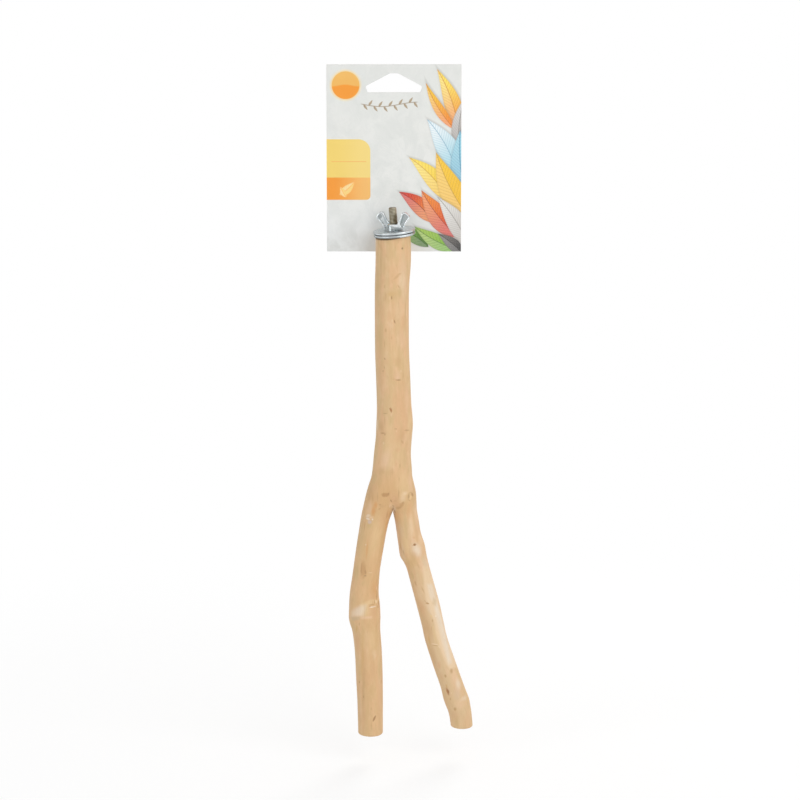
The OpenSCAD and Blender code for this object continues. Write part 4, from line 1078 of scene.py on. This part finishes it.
def nut_grime_and_shade(p, n):
    """Darker, duller zinc in the hollows under each wing's face and round the foot, from 0 to 1: part dull
    zinc, part painted shade and painted dark reflection.
    """
    outer = abs(p.y) > WING_FACE - WING_T / 2
    under = WING_T / 2 - abs(abs(p.y) - (WING_FACE - WING_T / 2))
    ahead = p.x if p.y < 0 else -p.x
    wall = 0.03 < under < 0.5 and abs(n.y) < 0.75 and p.z > 1.6
    # painted shade and dark reflection on the walls that face the stud, the hub's flat side below its
    # shoulder and its far corner
    inward = p.z > 4.0 and not outer and n.x * p.x < -0.2 * abs(p.x)
    flat = p.z < 4.6 and abs(p.y) > 3 and -2.4 < ahead < 6
    low = min(1.0, max(0.0, (3.9 - 0.25 * ahead - p.z) / 0.7))
    corner = p.z < 4.4 and ahead < -3.8 and math.hypot(p.x, p.y) > 4
    foot = min(1.0, max(0.0, (2.5 - p.z) / 1.4))
    # painted shade on the hollows' floors, darker in a patch on the inner side and in a crease next to the
    # hub
    hollow = 0.12 < under < 0.8 and abs(n.y) > 0.7 and p.z > 1
    inner_patch = math.hypot(abs(p.x) - 10.2, p.z - 9.6) < 1.7 and not outer
    crease = (abs(p.x) - 5.1) * 6.9 - (p.z - 4.7) * 2.7 < 6.7
    depth = ((0.64 if outer else 0.75 if inner_patch else 0.32) + 0.22 * crease) * min(1.0, (under - 0.12) / 0.2)
    return max(0.6 * foot, 0.75 * wall, 0.8 * inward, 0.6 * low * flat, 0.6 * corner, depth * hollow)


def cast_nut():
    """The nut's solid with its edges rounded over, as a casting has them."""
    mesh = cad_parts["wing_nut"].data.copy()
    with opened(mesh) as bm:
        bmesh.ops.remove_doubles(bm, verts=bm.verts, dist=1e-6)
    mesh.materials.clear()
    obj = new_object("cast_wing_nut", mesh)
    grid = obj.modifiers.new("grid", "REMESH")
    grid.mode, grid.voxel_size = "VOXEL", NUT_GRID * MM
    soft = obj.modifiers.new("soft", "SMOOTH")
    soft.factor, soft.iterations = 0.5, NUT_ROUNDS
    shaped = bpy.data.meshes.new_from_object(obj.evaluated_get(bpy.context.evaluated_depsgraph_get()))
    obj.modifiers.clear()
    obj.data = shaped
    for f in shaped.polygons:
        f.use_smooth = True
    to_nut = (LEAN @ Matrix.Translation((0, 0, NUT_Z * MM)) @ Matrix.Rotation(-WING_TURN, 4, "Z")).inverted()
    turned = to_nut.to_3x3()
    grime_and_shade = [nut_grime_and_shade((to_nut @ v.co) / MM, turned @ v.normal) for v in shaped.vertices]
    point_layer(shaped, "grime_and_shade", "FLOAT", "value", grime_and_shade)
    return obj


nut = cast_nut()
cast_zinc = zinc_material("cast_zinc", srgb(240, 243, 244), srgb(214, 221, 224), 0.09, 0.9, 0.00007)
nut.data.materials.append(cast_zinc)
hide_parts("wing_nut")
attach(nut, "wing_nut")

# Hang card, in mm from its lower left corner

CARD_LEFT, CARD_LOW, CARD_FRONT, CARD_BACK = -48.8, -14.5, 15.5, 16.1
BADGE, BADGE_R, GLOW_R = (13.8, 120.2, 0), 9.9, 10.7
TAB_RIGHT, TAB_LOW, TAB_HIGH, TAB_ROUND = 31.4, 37.6, 81.4, (3.0, 8.6)
TAB_SPLIT, RULE_AT, RULE_FROM, RULE_TO = 53.6, 65.3, 3.2, 28.6
SPRIG_AT, SPRIG_WAVE, SPRIG_TURN, SPRIG_FROM, SPRIG_TO = 106.5, 1.6, 0.12, 24, 66
SPRIG_LEAVES, SPRIG_FIRST, SPRIG_STEP = 11, 27.0, 3.6


def leaf_group():
    """A printed leaf with a midrib, side veins and a soft shadow, laid over the print below it."""
    group, net, given, result = node_group(
        "printed_leaf", "Color", P="Vector", Under="Color", Grit="Float", Centre="Vector", Way="Vector",
        Side="Vector", Long="Float", Wide="Float", Bend="Float", Pitch="Float", Shade="Float", Foot="Color",
        Tip="Color", Rib="Color",
    )
    out = net.vec("SUBTRACT", given["P"], given["Centre"])
    a, b = (net.vec("DOT_PRODUCT", out, given[axis]) for axis in ("Way", "Side"))
    t = a / given["Long"]
    t2 = t * t
    b = b - given["Bend"] * t2
    size, rib = abs(b), given["Rib"]
    wide = given["Wide"] * ((1.0 - t2) * net.most(1.0 - t * 0.35, 0.3))
    edge = size - wide
    shade = net.step(abs(b + 0.5) - (wide + 0.5), -1.2, 1.4, 1.0, 0.0)
    vein = net.sine((a - size * 1.1) * given["Pitch"])
    tone = net.tinge(
        net.mix(net.step(t, -0.8, 0.8), given["Foot"], given["Tip"]),
        (b, -0.2, 0.2, 0.14, WHITE),
        (vein, 0.55, 1.0, 0.34, rib),
        (size, 0.42, 0.10, 0.8, rib),
        (edge, -1.1, 0.0, 0.22, rib),
        (given["Grit"], 0.35, 0.7, 0.10, WHITE),
    )
    under = net.mix(shade * given["Shade"], given["Under"], srgb(96, 84, 70))
    net.put(result, net.mix(net.step(edge, -0.12, 0.12, 1.0, 0.0), under, tone))
    return group


def card_material():
    mat, net, shader = material("printed_card", Roughness=0.46, Specular_IOR_Level=0.35)
    place = net.place()
    x, y, z = net.xyz(place)
    u, v = x - CARD_LEFT, z - CARD_LOW
    flat = net.join(u, v)
    grit = net.noise(flat, (1.6, 1.6, 1))
    warp = net.noise(flat, (0.05, 0.05, 1), output="Color")
    warped = net.vec("ADD", flat, net.vec("MULTIPLY", warp, (22, 22, 0)))
    cloud = net.noise(warped, (0.075, 0.055, 1), 4.0, 0.62)
    vein = abs(net.noise(warped, (0.20, 0.12, 1), 3.0, 0.6) - 0.5)
    tone = net.tinge(
        net.mix(net.step(cloud, 0.36, 0.66), srgb(232, 233, 230), srgb(223, 225, 222)),
        (vein, 0.03, 0.0, 0.22, srgb(212, 215, 212)),
        # painted light: the card darker towards its top and lighter towards its bottom
        (v, 50, 130, 0.5, srgb(222, 224, 221)),
        (v, 45, 10, 0.6, srgb(231, 235, 237)),
    )
    low_corner = net.step(u, 44, 12) * net.step(v, 34, 6)
    tone = net.mix(low_corner * net.step(cloud, 0.3, 0.7, 0.1, 0.6), tone, srgb(204, 206, 203))

    # round badge, left bare, with its glow
    out = net.vec("LENGTH", net.vec("SUBTRACT", flat, BADGE))
    tone = net.tinge(tone, (out, GLOW_R + 1.5, GLOW_R - 1.5, 0.85, srgb(247, 214, 130)))
    badge = net.tinge(
        srgb(243, 156, 58),
        (v + net.sine(u * 0.35) * 0.6, 119.5, 120.6, 1.0, srgb(239, 184, 98)),
        (v, 121, 130, 0.25, srgb(242, 196, 116)),
    )
    tone = net.tinge(tone, (out, BADGE_R + 0.25, BADGE_R - 0.25, 1.0, badge))

    # tab at the left edge, rounded at its right: a pale block over a strong one, with a plain rule
    tab = net.tinge(
        srgb(243, 156, 60),
        (v, TAB_SPLIT, TAB_SPLIT + 0.25, 1.0, srgb(241, 211, 116)),
        (u, 4, 30, 0.45, srgb(246, 222, 150)),
    )
    rule = net.step(abs(v - RULE_AT), 0.28, 0.12)
    rule = rule * (net.step(u, RULE_FROM, RULE_FROM + 0.3) * net.step(u, RULE_TO, RULE_TO - 0.4))
    tab = net.mix(rule * 0.8, tab, srgb(244, 170, 92))
    mid, half = (TAB_LOW + TAB_HIGH) / 2, (TAB_HIGH - TAB_LOW) / 2
    r = net.step(v, mid - 0.01, mid + 0.01, *TAB_ROUND)
    over_u, over_v = net.most(u - TAB_RIGHT + r, 0.0), net.most(abs(v - mid) - half + r, 0.0)
    out = net.root(over_u * over_u + over_v * over_v) - r
    tone = net.tinge(tone, (out, 0.12, -0.1, 1.0, tab))

    leaf = leaf_group()

    def printed(under, centre, degrees, long, wide, bend, foot, tip, rib, pitch, shade=0.3):
        a = math.radians(degrees)
        given = {
            "P": flat, "Under": under, "Grit": grit, "Centre": (*centre, 0),
            "Way": (math.cos(a), math.sin(a), 0), "Side": (-math.sin(a), math.cos(a), 0), "Long": long,
            "Wide": wide, "Bend": bend, "Pitch": pitch, "Shade": shade, "Foot": foot, "Tip": tip, "Rib": rib,
        }
        return net.get("ShaderNodeGroup", 0, given, node_tree=leaf)

    # generic leaves on the tab
    cream, amber = srgb(248, 214, 128), srgb(249, 176, 86)
    tone = printed(tone, (15.0, 45.4), 42, 7.2, 2.9, 0.6, cream, cream, amber, 3.2, shade=0)
    tone = printed(tone, (11.6, 43.2), 118, 4.4, 1.9, -0.3, cream, cream, amber, 3.2, shade=0)

    # a plain sprig under the hang hole
    bark, bud, tip = srgb(158, 138, 112), srgb(172, 152, 122), srgb(196, 180, 150)
    stem = net.step(abs(v - (net.sine(u * SPRIG_TURN) * SPRIG_WAVE + SPRIG_AT)), 0.42, 0.18)
    stem = stem * (net.step(u, SPRIG_FROM, SPRIG_FROM + 2) * net.step(u, SPRIG_TO, SPRIG_TO - 2))
    tone = net.mix(stem * 0.8, tone, bark)
    for k in range(SPRIG_LEAVES):
        at_u = SPRIG_FIRST + SPRIG_STEP * k
        at_v = SPRIG_AT + SPRIG_WAVE * math.sin(at_u * SPRIG_TURN)
        up = 1 if k % 2 else -1
        centre = (at_u + 1.0, at_v + up * 1.9)
        tone = printed(tone, centre, 55 * up, 2.5, 0.85, 0.0, bud, tip, bark, 5.0, shade=0)

    # a spray of generic leaves and plumes along the right side
    yellow, lemon, orange, red = srgb(246, 200, 46), srgb(250, 226, 96), srgb(240, 138, 40), srgb(214, 52, 34)
    sky, ice, grey = srgb(150, 210, 226), srgb(232, 242, 246), srgb(168, 162, 158)
    green, moss, char = srgb(126, 184, 58), srgb(74, 124, 44), srgb(58, 56, 56)
    for row in (
        ((90, 108), 108, 26, 6.0, 3.0, orange, lemon, srgb(206, 122, 30), 2.4),
        ((80, 104), 122, 20, 3.6, -2.0, orange, yellow, srgb(206, 122, 30), 2.4),
        ((95, 92), 84, 20, 5.0, -2.0, grey, srgb(206, 202, 198), srgb(128, 122, 118), 3.0),
        ((86, 76), 118, 24, 8.0, 3.0, sky, ice, srgb(112, 168, 196), 2.6),
        ((96, 62), 96, 26, 7.0, -2.5, srgb(104, 178, 206), sky, srgb(70, 132, 170), 2.6),
        ((76, 54), 132, 22, 6.4, 3.0, yellow, lemon, srgb(206, 152, 30), 2.0),
        ((90, 44), 118, 30, 9.0, -3.0, srgb(240, 186, 40), yellow, srgb(200, 146, 26), 2.0),
        ((66, 34), 138, 17, 6.0, 2.5, orange, red, srgb(150, 40, 26), 2.4),
        ((80, 26), 128, 22, 7.6, -2.0, red, orange, srgb(168, 54, 26), 2.4),
        ((62, 12), 150, 14, 5.0, 2.0, moss, green, srgb(60, 104, 36), 2.2),
        ((93, 22), 122, 22, 7.0, 2.0, srgb(186, 182, 176), srgb(226, 224, 220), srgb(140, 134, 128), 3.0),
        ((78, 8), 152, 18, 5.4, -2.0, green, srgb(172, 208, 92), moss, 2.2),
        ((90, 6), 140, 12, 4.2, 1.0, char, srgb(120, 116, 112), srgb(30, 30, 30), 3.4),
    ):
        tone = printed(tone, *row)

    # raw board on the cut edges, plain grey board on the back
    facing = abs(net.xyz(net.get("ShaderNodeNewGeometry", "True Normal"))[1])
    layers = net.noise(place, (0.6, 9.0, 0.6))
    pulp = net.noise(place, (1.2, 1, 1.2), 3.0, 0.7)
    raw = net.mix(net.step(layers, 0.35, 0.7), srgb(238, 234, 226), srgb(208, 202, 190))
    rear = net.mix(net.step(pulp, 0.3, 0.7), srgb(226, 224, 218), srgb(208, 205, 198))
    full = net.tinge(
        raw,
        (y, CARD_BACK - 0.2, CARD_BACK - 0.1, 1.0, rear),
        (abs(y - CARD_FRONT), 0.08, 0.04, 1.0, tone),
    )
    full = net.mix(net.step(facing, 0.5, 0.7), raw, full)
    fibre = net.noise(place, (2.4, 2.4, 2.4), 3.0, 0.7)
    net.feed(shader, Base_Color=full, Normal=net.bump(fibre, 0.00003, 0.5))
    return mat


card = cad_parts["hang_card"]
card.data.materials.clear()
card.data.materials.append(card_material())
